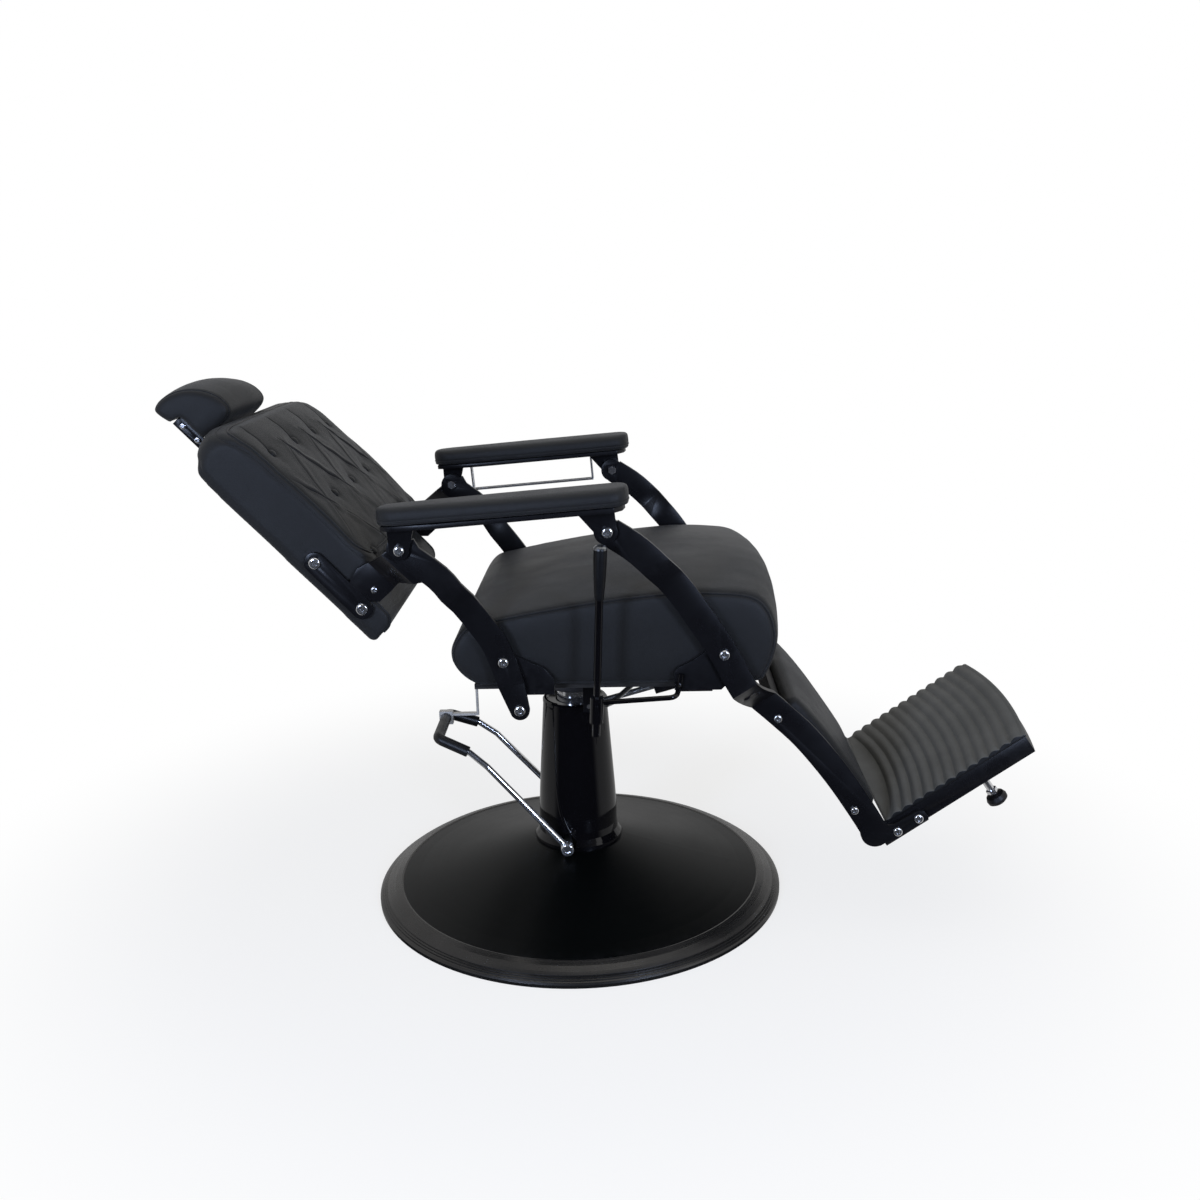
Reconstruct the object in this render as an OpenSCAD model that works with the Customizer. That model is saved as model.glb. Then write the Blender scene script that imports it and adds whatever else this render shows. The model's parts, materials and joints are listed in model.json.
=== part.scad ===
// Hydraulic barber chair, fully reclined, seat at its lowest.
// Origin: centre of the base at floor level. +X is the sitter's front,
// -Y the sitter's right (the side with the recline lever), +Z up. Millimetres.

/* [Base] */
// Outer diameter of the floor base
base_d = 720; // [660:10:800]
// Width of the moulded trim ring round the base
ring_w = 42; // [34:1:60]
// Height of the dome where the trim ring meets it
rim_h = 25; // [22:1:34]
// Height of the top of the dome, where the column stands
dome_top_z = 92; // [85:1:105]
// Wall of the pressed steel dome
dome_t = 4; // [2:0.5:6]
// Thickness of the cast iron weight disc
weight_t = 14; // [10:1:16]

/* [Column and pump] */
// Outer diameter of the column shroud at its top
shroud_top_d = 112; // [105:1:124]
// Outer diameter of the column shroud near its foot
shroud_low_d = 138; // [132:1:150]
// Outer diameter of the flared foot of the shroud
shroud_foot_d = 154; // [150:1:170]
// Height of the top edge of the shroud
shroud_top_z = 346; // [330:1:350]
// Wall of the shroud
shroud_t = 3; // [2:0.5:5]
// Diameter of the lifting ram
ram_d = 64; // [50:1:66]
// Height of the shoulder at the top of the ram
ram_top_z = 372; // [362:1:376]
// Depth to which the ram reaches into the pump
ram_low_z = 128; // [124:1:150]
// Diameter of the spigot on which the seat turns
spigot_d = 40; // [30:1:44]

/* [Pedal] */
// Place of the pedal shaft, front to back
pedal_x = -17; // [-25:1:-10]
// Height of the pedal shaft
pedal_z = 105; // [103:1:107]
// Diameter of the pedal shaft
pedal_shaft_d = 16; // [12:1:18]
// Diameter of the chrome pedal rod
pedal_rod_d = 11; // [8:0.5:13]
// Diameter of the rubber grip on the pedal
pedal_grip_d = 19; // [17:0.5:22]
// Height of the pedal grip at rest
pedal_grip_z = 301; // [280:1:305]

/* [Seat] */
// Height of the underside of the seat cushion
seat_z = 457; // [455:1:460]
// Length of the seat cushion
seat_l = 492; // [480:2:500]
// Width of the seat cushion
seat_w = 508; // [480:2:510]
// Thickness of the seat cushion at its front
seat_h = 147; // [135:1:155]
// Rise of the crown in the middle of the seat
seat_crown = 18; // [5:1:25]
// Thickness of the plywood panels under the seat
seat_board_t = 8; // [5:0.5:8]
// Thickness of the side brackets under the seat
bracket_t = 6; // [4:0.5:6]

/* [Linkage] */
// Half distance between the seat brackets' outer faces
seat_plane = 265; // [264:0.5:266]
// Half distance between the outer faces of the links at the armrests
arm_plane = 286; // [284:0.5:288]
// Half distance between the outer faces of the leg bars
leg_plane = 192; // [188:1:196]
// Thickness of the link plates
link_t = 8; // [6:0.5:8.5]
// Width of the link plates
link_w = 43; // [36:1:46]
// Diameter of the pivot bolts' shanks
pivot_d = 10; // [8:0.5:12]
// Diameter of the chrome bolt heads
head_d = 16; // [15:0.5:18]
// Height of the chrome bolt heads
head_h = 5; // [4:0.5:6]
// Rear seat pivot, front to back
rear_pivot_x = -93; // [-96:1:-90]
// Front seat pivot, front to back
front_pivot_x = 241; // [238:1:244]

/* [Back] */
// Angle of the back above the horizontal
back_angle = 47; // [45:1:49]
// Width of the back cushion
back_w = 469; // [440:1:469]
// Length of the back from its lower edge to its frame's top
back_l = 384; // [370:2:390]
// Thickness of the back at its seam
back_t = 98; // [90:1:106]
// Rise of the crown in the middle of the back
back_crown = 14; // [5:1:18]
// Depth of the sewn tufts
tuft_depth = 16; // [6:1:20]
// Spacing of the tufts across the back
tuft_pitch = 120; // [110:1:124]
// Spacing of the tuft rows along the back
tuft_row = 106; // [95:1:112]

/* [Headrest] */
// Width of the headrest cushion
headrest_w = 206; // [196:2:240]
// Width of the flat prongs that carry the headrest
prong_w = 18; // [16:1:18]
// Thickness of the prongs
prong_t = 5; // [4:0.5:6]

/* [Armrests] */
// Length of an armrest pad
pad_l = 370; // [355:1:380]
// Width of an armrest pad at its front
pad_w = 80; // [70:1:84]
// Thickness of an armrest pad at its edge
pad_t = 25; // [20:1:32]
// Thickness of the steel rail under a pad
rail_t = 7; // [5:0.5:8]
// Height of the rail's underside above the line through the pivots
rail_lift = 33; // [30:1:36]
// Diameter of the towel rail wire
towel_wire_d = 4; // [3:0.5:5]

/* [Leg rest] */
// Length of the calf pad
calf_l = 286; // [270:2:292]
// Width of the calf pad
calf_w = 344; // [320:2:350]
// Thickness of the calf pad
calf_t = 26; // [20:1:28]
// Rise of the crown of the calf pad
calf_crown = 10; // [4:1:14]
// Angle of the calf pad above the horizontal
calf_angle = 54; // [52:1:56]

/* [Footplate] */
// Angle of the footplate above the horizontal
plate_angle = 34.5; // [32:0.5:37]
// Length of the footplate along its side
plate_l = 257; // [240:1:265]
// Depth of the footplate's side flanges
flange_h = 34; // [28:1:38]
// Thickness of the footplate's steel
tray_t = 3; // [2:0.5:4]
// Number of ribs across the tread
rib_n = 12; // [10:1:18]
// Height of the ribs
rib_h = 4.5; // [2:0.5:5]
// Radius of the curved ribs, seen from above
rib_arc_r = 850; // [700:10:1200]
// Length of the chrome studs below the flange
stud_l = 50; // [40:1:54]

/* [Recline lever] */
// Diameter of the lever's grip at its top
grip_d = 20; // [16:0.5:20]
// Height of the lever's pivot
lever_z = 446; // [443:1:448]
// Height of the top of the lever
lever_top_z = 692; // [670:1:696]
// Diameter of the bent guard rod
guard_d = 8; // [6:0.5:9]

/* [Fits] */
// Running clearance round pins and rams, on the radius
run_fit = 0.05; // [0.02:0.01:0.1]
// Clearance between a soft piece and its neighbour
soft_gap = 0.4; // [0.3:0.1:0.6]
// Side clearance between plates that turn on each other
side_gap = 0.5; // [0.3:0.1:0.7]

/* [Hidden] */
$fn = 48;

base_r = base_d / 2;
dome_r = base_r - ring_w;
foot_r = shroud_foot_d / 2;
ram_r = ram_d / 2;
pivot_r = pivot_d / 2;
hole_r = pivot_r + run_fit;
head_r = head_d / 2;

// Pivots of the linkage, seen from the side: [front to back, height]
rear_pivot = [rear_pivot_x, 504];
front_pivot = [front_pivot_x, 511];
arm_rear = [-237, 684];
arm_front = [69, 706];
arm_span = norm(arm_front - arm_rear);
arm_angle = atan2(arm_front[1] - arm_rear[1], arm_front[0] - arm_rear[0]);
open_play = 1.2;

link_out_seat = seat_plane + side_gap + link_t;
link_in_arm = arm_plane - link_t;
tab_in = arm_plane + side_gap;
tab_t = 5;

// ---------- helpers ----------
function unit(v) = v / norm(v);
function left_of(v) = [-v[1], v[0]];
function clamp01(x) = min(1, max(0, x));
function smooth_step(x) = let (t = clamp01(x)) t * t * (3 - 2 * t);
function corner_shift(p, i, w) =
    let (a = unit(p[max(i, 1)] - p[max(i, 1) - 1]),
         b = unit(p[min(i, len(p) - 2) + 1] - p[min(i, len(p) - 2)]),
         m = unit(left_of(a) + left_of(b)))
    m * w / (m * left_of(a));
// A band of half width w along a run of points
function band(p, w) = concat(
    [for (i = [0:len(p) - 1]) p[i] + corner_shift(p, i, w)],
    [for (i = [len(p) - 1:-1:0]) p[i] - corner_shift(p, i, w)]);
// Straight-sided taper from half width wa at a to wb at b
module taper(a, b, wa, wb) {
    n = left_of(unit(b - a));
    polygon([a + n * wa, b + n * wb, b - n * wb, a - n * wa]);
}
function bend(a, b, c, d, t) =
    0.5 * (2 * b + (c - a) * t + (2 * a - 5 * b + 4 * c - d) * t * t
           + (3 * b - 3 * c + d - a) * t * t * t);
// A smooth run through points, k steps to each span
function smooth_run(p, k) = concat(
    [for (i = [0:len(p) - 2], j = [0:k - 1])
        bend(p[max(i - 1, 0)], p[i], p[i + 1], p[min(i + 2, len(p) - 1)], j / k)],
    [p[len(p) - 1]]);
function total(v, i = 0) = i < len(v) ? v[i] + total(v, i + 1) : 0 * v[0];

// A closed skin over rings of points that all have the same count
module skin(rings, hub = undef) {
    n = len(rings[0]);
    m = len(rings);
    ends = [for (r = [rings[0], rings[m - 1]])
        is_undef(hub) ? total(r) / n : [hub[0], r[0][1], hub[1]]];
    pts = concat([for (r = rings) each r], ends);
    walls = [for (i = [0:m - 2], j = [0:n - 1])
        let (a = i * n + j, b = i * n + (j + 1) % n)
        each [[a, b, b + n], [a, b + n, a + n]]];
    cap_a = [for (j = [0:n - 1]) [m * n, (j + 1) % n, j]];
    cap_b = [for (j = [0:n - 1]) [m * n + 1, (m - 1) * n + j, (m - 1) * n + (j + 1) % n]];
    polyhedron(pts, concat(walls, cap_a, cap_b), convexity = 8);
}

// Round rod along a run of 3D points, with ball corners a hair fuller than the rod
module rod(pts, r) {
    for (i = [0:len(pts) - 2]) {
        v = pts[i + 1] - pts[i];
        translate(pts[i])
            rotate([0, acos(v[2] / norm(v)), atan2(v[1], v[0])])
                cylinder(h = norm(v), r = r);
    }
    for (i = [1:1:len(pts) - 2])
        translate(pts[i]) sphere(r = r + 0.04);
}
// Cylinder across the chair, at side-view place c, from y0 to y1
module across(c, r, y0, y1)
    translate([c[0], y0, c[1]]) rotate([-90, 0, 0]) cylinder(r = r, h = y1 - y0);
// Side plate on the right-hand side between the half widths w0 and w1
module plate(w0, w1)
    translate([0, -w0, 0]) rotate([90, 0, 0]) linear_extrude(w1 - w0) children();
// Upright slab of joggled steel: path holds [distance along, half width] points
module joggle(origin, angle, path, t, depth = 420)
    translate([origin[0], 0, origin[1]]) rotate([0, -angle, 0]) rotate([180, 0, 0])
        linear_extrude(depth, center = true) polygon(band(path, t / 2));
module both_sides() {
    children();
    mirror([0, 1, 0]) children();
}
// Chrome button head with a hexagon socket, facing -Y, on face half width w
module bolt_head(c, w, r = head_r, h = head_h)
    difference() {
        across(c, r, -(w + h), -w);
        translate([c[0], -(w + h) - 1, c[1]]) rotate([-90, 0, 0])
            cylinder(d = r * 0.9, h = h * 0.55 + 1, $fn = 6);
    }

// ---------- base ----------
module base_ring() {
    s = ring_w / 42;
    color("#2b2b2c") rotate_extrude($fn = 96)
        polygon([[dome_r + 0.1, 0], [dome_r + 0.1, rim_h], [dome_r + 3 * s, rim_h + 1],
                 [dome_r + 14 * s, rim_h - 2], [dome_r + 24 * s, rim_h - 6.5],
                 [dome_r + 29 * s, rim_h - 9.6], [dome_r + 29.6 * s, rim_h - 11.2],
                 [dome_r + 32.6 * s, rim_h - 11.8], [dome_r + 33.2 * s, rim_h - 13.4],
                 [dome_r + 36 * s, rim_h - 14.2], [dome_r + 36.6 * s, rim_h - 15.8],
                 [dome_r + 39.4 * s, rim_h - 16.8], [base_r, rim_h - 19.5], [base_r, 0]]);
}

dome_steps = 8;
function dome_z(f) = rim_h + (dome_top_z - rim_h) * pow(f, 1.12);
module base_dome()
    color("#161616") rotate_extrude($fn = 96) {
        inner = 56;
        shelf = foot_r + 3;
        top = concat([for (i = [0:dome_steps]) [dome_r + (shelf - dome_r) * i / dome_steps,
                                               dome_z(i / dome_steps)]],
                     [[inner, dome_top_z]]);
        low = [for (i = [len(top) - 1:-1:0]) [top[i][0] - (i == 0 ? dome_t : 0),
                                             top[i][1] - dome_t]];
        polygon(concat([[dome_r, weight_t]], top, low, [[dome_r - dome_t, weight_t]]));
    }

bolt_circle = 66;
module base_weight()
    color("#3a3a3c") difference() {
        cylinder(r = dome_r, h = weight_t, $fn = 96);
        for (a = [30:60:330])
            rotate(a) translate([bolt_circle, 0, weight_t - 10]) cylinder(d = 8, h = 11);
    }

// ---------- pump and column ----------
gland_h = 12;
pump_top_z = shroud_top_z - 8;
pump_r = 52;
pump_hub_r = ram_r + 11;
plunger_d = 14;
plunger_x = pedal_x - 27;
module pump_body()
    color("#4a4d50") difference() {
        union() {
            translate([0, 0, weight_t]) cylinder(r = 76, h = 10);
            translate([0, 0, weight_t + 10]) cylinder(r = pump_r, h = 150 - weight_t - 10);
            translate([0, 0, 150]) cylinder(r = pump_hub_r, h = pump_top_z - 150);
        }
        translate([0, 0, ram_low_z - 2]) cylinder(r = ram_r + run_fit, h = 400);
        translate([0, 0, pump_top_z - gland_h]) cylinder(r = ram_r + 5, h = 40);
        across([pedal_x, pedal_z], pedal_shaft_d / 2 + run_fit, -90, 90);
        // pocket for the crank and the plunger
        translate([plunger_x - 14, -9, 60])
            cube([pedal_x - plunger_x + 14, 18, ram_low_z - 5 - 60]);
        translate([-pump_r - 1, -9, 60]) cube([20, 18, ram_low_z - 5 - 60]);
        translate([plunger_x, 0, 30]) cylinder(r = plunger_d / 2 + run_fit, h = 40);
        for (a = [30:60:330])
            rotate(a) translate([bolt_circle, 0, 0]) cylinder(d = 9, h = 60);
    }

module pump_bolts()
    color("#8a8d90") for (a = [30:60:330])
        rotate(a) translate([bolt_circle, 0, 0]) {
            translate([0, 0, weight_t + 10]) cylinder(r = 7, h = 6, $fn = 6);
            translate([0, 0, weight_t - 10]) cylinder(d = 7.9, h = 20);
        }

module ram_gland()
    color("#b08d57") translate([0, 0, pump_top_z - gland_h]) difference() {
        cylinder(r = ram_r + 4.95, h = gland_h + 3);
        translate([0, 0, -1]) cylinder(r = ram_r + run_fit, h = gland_h + 5);
    }

module column_shroud()
    color("#0c0c0e") difference() {
        rotate_extrude($fn = 96) {
            outer = [[foot_r, dome_top_z], [foot_r, dome_top_z + 7],
                     [foot_r - 2.5, dome_top_z + 11], [shroud_low_d / 2 + 1.5, dome_top_z + 18],
                     [shroud_low_d / 2, dome_top_z + 30], [shroud_low_d / 2, dome_top_z + 60],
                     [shroud_low_d / 2 - 2, dome_top_z + 95],
                     [shroud_top_d / 2, shroud_top_z]];
            inner = [for (i = [len(outer) - 1:-1:0]) outer[i] - [shroud_t, 0]];
            polygon(concat(outer, inner));
        }
        across([pedal_x + 2, pedal_z + 2], 14, -100, 100);
    }

module shroud_collar() {
    r = shroud_top_d / 2;
    color("#101012") rotate_extrude($fn = 96)
        polygon([[ram_r + 2, shroud_top_z], [ram_r + 2, shroud_top_z + 4],
                 [r - 9, shroud_top_z + 5], [r - 6, shroud_top_z + 8],
                 [r - 2, shroud_top_z + 8], [r + 0.5, shroud_top_z + 5],
                 [r + 0.5, shroud_top_z]]);
}

// ---------- lift ----------
thrust_t = 3;
head_z = ram_top_z + thrust_t + 0.1;
frame_plate_z = 414;
module ram()
    color("#d6d8da") {
        translate([0, 0, ram_low_z]) cylinder(r = ram_r, h = ram_top_z - ram_low_z);
        translate([0, 0, ram_top_z - 1])
            cylinder(d = spigot_d, h = frame_plate_z - 2 - ram_top_z);
    }

module thrust_ring()
    color("#b08d57") translate([0, 0, ram_top_z]) difference() {
        cylinder(r = ram_r - 1, h = thrust_t);
        translate([0, 0, -1]) cylinder(r = spigot_d / 2 + run_fit, h = thrust_t + 2);
    }

// ---------- pedal ----------
pedal_at = [pedal_x, pedal_z];
pedal_out = foot_r + 10;
crank_l = 27;
eye_r = 11;
eye_t = 6;
grip_at = [-235, pedal_grip_z];
module pedal_shaft()
    color("#6a6d70") {
        across(pedal_at, pedal_shaft_d / 2, eye_t - pedal_out, pedal_out - eye_t);
        translate([pedal_x - crank_l, -6, pedal_z - 7]) cube([crank_l, 12, 9]);
        across([pedal_x - crank_l, pedal_z - 4], 5, -6, 6);
    }

function pedal_side(s) = [[pedal_x, s * pedal_out, pedal_z],
                          [-150, s * 80, pedal_z + 150],
                          [-180, s * 74, pedal_grip_z - 22],
                          [grip_at[0], s * 63, pedal_grip_z]];
pedal_path = concat(pedal_side(-1), [for (i = [3:-1:0]) pedal_side(1)[i]]);
// The rubber grip starts e before the upper bends' line and goes round both corners
function grip_path(e) =
    let (a = pedal_path[2], b = pedal_path[3], c = pedal_path[4], d = pedal_path[5])
    [a + e * unit(b - a), b, c, d + e * unit(c - d)];
module pedal_lever()
    color("#cfd1d3") difference() {
        union() {
            rod(pedal_path, pedal_rod_d / 2);
            for (s = [-1, 1])
                across(pedal_at, eye_r, s * pedal_out - eye_t, s * pedal_out + eye_t);
        }
        across(pedal_at, 4 + run_fit, -(pedal_out + 20), pedal_out + 20);
    }

module pedal_grip()
    color("#1a1a1a") difference() {
        rod(grip_path(3), pedal_grip_d / 2);
        rod(grip_path(0), pedal_rod_d / 2 + run_fit);
    }

module pedal_bolts()
    color("#c9cbce") both_sides() {
        face = pedal_out + eye_t;
        across(pedal_at, 4, -face, eye_t - pedal_out);
        across(pedal_at, 10, -(face + 1.5), -face);
        bolt_head(pedal_at, face + 1.5, 7, 5);
        // split pin across the end of the bolt
        rod([[pedal_x - 9, -(face + 8), pedal_z + 3],
             [pedal_x + 12, -(face + 8), pedal_z - 1]], 1.3);
    }

hook_y = 44;
hook_top_z = pedal_grip_z + 64;
module pedal_hook()
    color("#8b8d90") {
        grip_r = pedal_grip_d / 2 + 0.1;
        mirror([0, 1, 0]) plate(hook_y - 6, hook_y + 6) difference() {
            translate(grip_at) square([2 * grip_r + 5, 2 * grip_r + 5], center = true);
            translate(grip_at) circle(r = grip_r);
        }
        mirror([0, 1, 0]) plate(hook_y - 5, hook_y + 5)
            translate([grip_at[0] + grip_r + 1, pedal_grip_z + 4])
                square([pedal_x - 160 - grip_at[0] - grip_r, 4]);
        translate([pedal_x - 161, hook_y, pedal_grip_z + 3])
            cylinder(d = 5, h = hook_top_z - pedal_grip_z - 3);
    }

plunger_top = pedal_z - 9.2;
module pump_plunger()
    color("#b9bbbd") translate([plunger_x, 0, 0]) {
        translate([0, 0, 45]) cylinder(d = plunger_d, h = plunger_top - 45 - 3);
        translate([0, 0, plunger_top - 4]) cylinder(d = plunger_d + 2, h = 4);
    }

// ---------- seat ----------
seat_x0 = -178;
bar_t = 8;
bar_low_z = seat_z - soft_gap - bar_t;
rear_bar_x = -88;
front_bar_x = 168;
bar_w = 56;
bracket_in = seat_plane - bracket_t;
spine_y = 46;
module swivel_head()
    color("#1d1d1f") difference() {
        rotate_extrude()
            polygon([[0, head_z], [46, head_z], [48, head_z + 4], [50, frame_plate_z - 16],
                     [60, frame_plate_z - 8], [60, frame_plate_z], [0, frame_plate_z]]);
        translate([0, 0, head_z - 1])
            cylinder(r = spigot_d / 2 + run_fit, h = frame_plate_z - 1.5 - head_z);
    }

hanger_x = 28;
hanger_z = 366;
hanger_y = 80;
module seat_frame()
    color("#141414") {
        translate([-90, -92, frame_plate_z]) cube([200, 184, 8]);
        for (s = [-1, 1])
            translate([rear_bar_x, s * spine_y - 15, frame_plate_z + 8])
                cube([front_bar_x + bar_w - 14 - rear_bar_x, 30, bar_low_z - frame_plate_z - 8]);
        for (x = [rear_bar_x, front_bar_x])
            translate([x, -bracket_in, bar_low_z]) cube([bar_w, 2 * bracket_in, bar_t]);
        // ears that hold the recline cylinder's rod
        difference() {
            for (y = [-hanger_y - 12, -hanger_y + 7])
                translate([hanger_x - 10, y, hanger_z - 10])
                    cube([20, 5, frame_plate_z - hanger_z + 12]);
            across([hanger_x, hanger_z], 4 + run_fit, -120, 0);
        }
    }

module seat_brackets_front() {
    c = front_pivot;
    color("#171717") both_sides() plate(bracket_in, seat_plane) difference() {
        polygon([[front_bar_x - 2, bar_low_z + 4], [front_bar_x - 2, c[1] - 30],
                 [front_bar_x + 4, c[1] - 22],
                 [c[0] - 50, c[1] - 13], [c[0] - 20, c[1] + 8], [c[0] + 4, c[1] + 16],
                 [c[0] + 16, c[1] + 10], [c[0] + 18, c[1] - 8], [c[0] + 2, bar_low_z + 10],
                 [c[0] - 4, bar_low_z + 4]]);
        translate(c) circle(r = hole_r);
    }
}

module seat_brackets_rear() {
    c = rear_pivot;
    color("#171717") both_sides() plate(bracket_in, seat_plane) difference() {
        polygon([[c[0] + 76, bar_low_z], [c[0] + 75, c[1] - 30], [c[0] + 61, c[1] - 13],
                 [c[0] + 16, c[1] + 8], [c[0], c[1] + 15], [c[0] - 14, c[1] + 8],
                 [c[0] - 15, c[1] - 6], [c[0] + 6, bar_low_z]]);
        translate(c) circle(r = hole_r);
    }
}

module seat_board() {
    w = seat_w - 40;
    front_x = seat_x0 + 0.87 * seat_l;
    spans = [[seat_x0 + 34, rear_bar_x], [rear_bar_x + bar_w, front_bar_x],
             [front_bar_x + bar_w, front_x]];
    color("#5a4632") for (s = spans)
        translate([s[0], -w / 2, seat_z - soft_gap - seat_board_t])
            cube([s[1] - s[0], w, seat_board_t]);
}

// Side outline of the seat, as shares of its length and front height
seat_outline = [[0.09, 0], [0.045, 0.08], [0.008, 0.24], [0.004, 0.42], [0.055, 0.61],
                [0.153, 0.742], [0.456, 0.918], [0.687, 1], [0.82, 1], [0.915, 0.946],
                [0.977, 0.77], [1, 0.51], [0.988, 0.25], [0.955, 0]];
seat_side = [for (p = smooth_run(seat_outline, 3))
    [seat_x0 + p[0] * seat_l, seat_z + max(0, p[1]) * seat_h]];
seat_low = [for (f = [0.78, 0.5, 0.3]) [seat_x0 + f * seat_l, seat_z]];
function seat_ring(y, inset) =
    let (k = 1 - pow(y / (seat_w / 2), 2), mid = [seat_x0 + seat_l / 2, seat_z + seat_h / 2])
    [for (p = concat(seat_side, seat_low))
        let (q = [mid[0] + (p[0] - mid[0]) * (1 - 2 * inset / seat_l),
                  mid[1] + (p[1] - mid[1]) * (1 - 2 * inset / seat_h)],
             up = smooth_step((p[1] - seat_z - seat_h * 0.45) / (seat_h * 0.4)),
             out = smooth_step((p[0] - seat_x0 - seat_l * 0.9) / (seat_l * 0.08)))
        [q[0] + seat_crown * k * out, y, max(seat_z, q[1] + seat_crown * k * up)]];
module seat_cushion() {
    b = seat_w / 2;
    ends = [[b + 1.5, 42], [b, 16], [b - 1.5, 8], [b - 6, 2.5], [b - 14, 0]];
    mids = [for (f = [0.78, 0.55, 0.3]) [f * b, 0]];
    half = concat(ends, mids);
    stations = concat([for (e = half) [-e[0], e[1]]], [[0, 0]],
                      [for (i = [len(half) - 1:-1:0]) half[i]]);
    color("#26282b") skin([for (e = stations) seat_ring(e[0], e[1])]);
}

module seat_pivot_bolts()
    color("#c9cbce") both_sides() for (c = [rear_pivot, front_pivot]) {
        across(c, pivot_r, -(link_out_seat + side_gap), -(bracket_in + 0.3));
        bolt_head(c, link_out_seat + side_gap);
    }

// ---------- recline lever ----------
lever_at = [48, lever_z];
lever_y = link_out_seat + 39;
lever_lean = atan2(11, lever_top_z - lever_z);
sleeve_r = 10;
guard_y = lever_y - sleeve_r - guard_d / 2 - 1;
module lever_guard_rod()
    color("#111111") {
        guard_drop = 7;
        x = front_bar_x + 5;
        rod([[x + 3, -(seat_plane + guard_d / 2), lever_z + 34],
             [x, -(seat_plane + guard_d / 2), lever_z + guard_drop + 6],
             [x - 6, -guard_y, lever_z + guard_drop],
             [lever_at[0], -guard_y, lever_z],
             [lever_at[0], -(lever_y + sleeve_r + 3), lever_z]], guard_d / 2);
    }

module lever_frame()
    translate([lever_at[0], -lever_y, lever_z]) rotate([0, lever_lean, 0]) children();
lever_l = (lever_top_z - lever_z) / cos(lever_lean);
grip_l = 82;
cap_h = 7;
sleeve_h = 40;
sleeve_low = -26;
tail_l = 47;
module lever_rod()
    color("#2a2a2c") lever_frame() {
        translate([0, 0, sleeve_low + sleeve_h - 6]) cylinder(r = 5, h = 36);
        translate([0, 0, 40]) cylinder(r = 6, h = lever_l - grip_l - 40);
        translate([0, 0, lever_l - grip_l]) cylinder(r = 4, h = grip_l - cap_h);
        difference() {
            translate([0, 0, -tail_l]) cylinder(r = 6, h = tail_l + sleeve_low + 8);
            translate([0, 0, -tail_l - 1]) cylinder(r = 2, h = 8);
        }
    }

module lever_sleeve()
    color("#b4b7ba") difference() {
        lever_frame() translate([0, 0, sleeve_low]) cylinder(r = sleeve_r, h = sleeve_h);
        lever_frame() translate([0, 0, sleeve_low + sleeve_h - 6]) cylinder(r = 5, h = 36);
        lever_frame() translate([0, 0, -tail_l]) cylinder(r = 6, h = tail_l + sleeve_low + 8);
        across(lever_at, guard_d / 2 + run_fit, -(lever_y + 20), -(lever_y - 20));
    }

module lever_grip()
    color("#1b1b1c") lever_frame() difference() {
        translate([0, 0, lever_l - grip_l]) rotate_extrude()
            polygon([[0, 0], [6.5, 0], [7, 3], [grip_d / 2 - 0.8, 34], [grip_d / 2, 60],
                     [grip_d / 2, grip_l - cap_h], [0, grip_l - cap_h]]);
        translate([0, 0, lever_l - grip_l - 1]) cylinder(r = 4, h = grip_l + 2);
    }

module lever_cap()
    color("#d0d2d4") lever_frame() translate([0, 0, lever_l - cap_h]) rotate_extrude()
        polygon([[0, 0], [grip_d / 2, 0], [grip_d / 2, 3], [grip_d / 2 - 2, cap_h - 1.2],
                 [grip_d / 2 - 5, cap_h], [0, cap_h]]);

module release_rod()
    color("#c4c6c8") {
        y_in = spine_y + 16.4;
        rod([[lever_at[0] + 14, -(guard_y - guard_d / 2 - 4), lever_z - 6],
             [lever_at[0] + 22, -(guard_y - 26), lever_z - 9],
             [front_bar_x - 20, -y_in, bar_low_z - 13]], 4);
    }

// ---------- recline cylinder ----------
hanger = [hanger_x, hanger_z];
tube_at = [275, 436];
tube_r = 9;
strut_l = norm(tube_at - hanger);
strut_angle = atan2(tube_at[1] - hanger[1], tube_at[0] - hanger[0]);
barrel_l = 126;
barrel_r = 14;
strut_eye = 17;
barrel_z0 = strut_l - strut_eye - barrel_l;
strut_play = 2.7;
module on_strut()
    translate([hanger[0], -hanger_y, hanger[1]]) rotate([0, 90 - strut_angle, 0]) children();
module cylinder_rod()
    color("#d2d4d6") difference() {
        union() {
            on_strut() translate([0, 0, 6]) cylinder(r = 5, h = barrel_z0 + 64);
            across(hanger, 9, -hanger_y - 6.5, -hanger_y + 6.5);
            across(hanger, 4, -hanger_y - 12, -hanger_y + 12);
        }
    }

module cylinder_barrel()
    color("#18181a") {
        eye_bore = tube_r + strut_play;
        difference() {
            across(tube_at, eye_bore + 5, -hanger_y - 8, -hanger_y + 8);
            across(tube_at, eye_bore, -hanger_y - 20, -hanger_y + 20);
        }
        on_strut() translate([0, 0, barrel_z0]) difference() {
            union() {
                cylinder(r = barrel_r, h = barrel_l);
                translate([0, 0, barrel_l - 1])
                    cylinder(r = 7, h = strut_l - eye_bore - 2 - barrel_z0 - barrel_l + 1);
            }
            translate([0, 0, -1]) cylinder(r = 5 + run_fit, h = barrel_l - 8);
        }
    }

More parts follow.
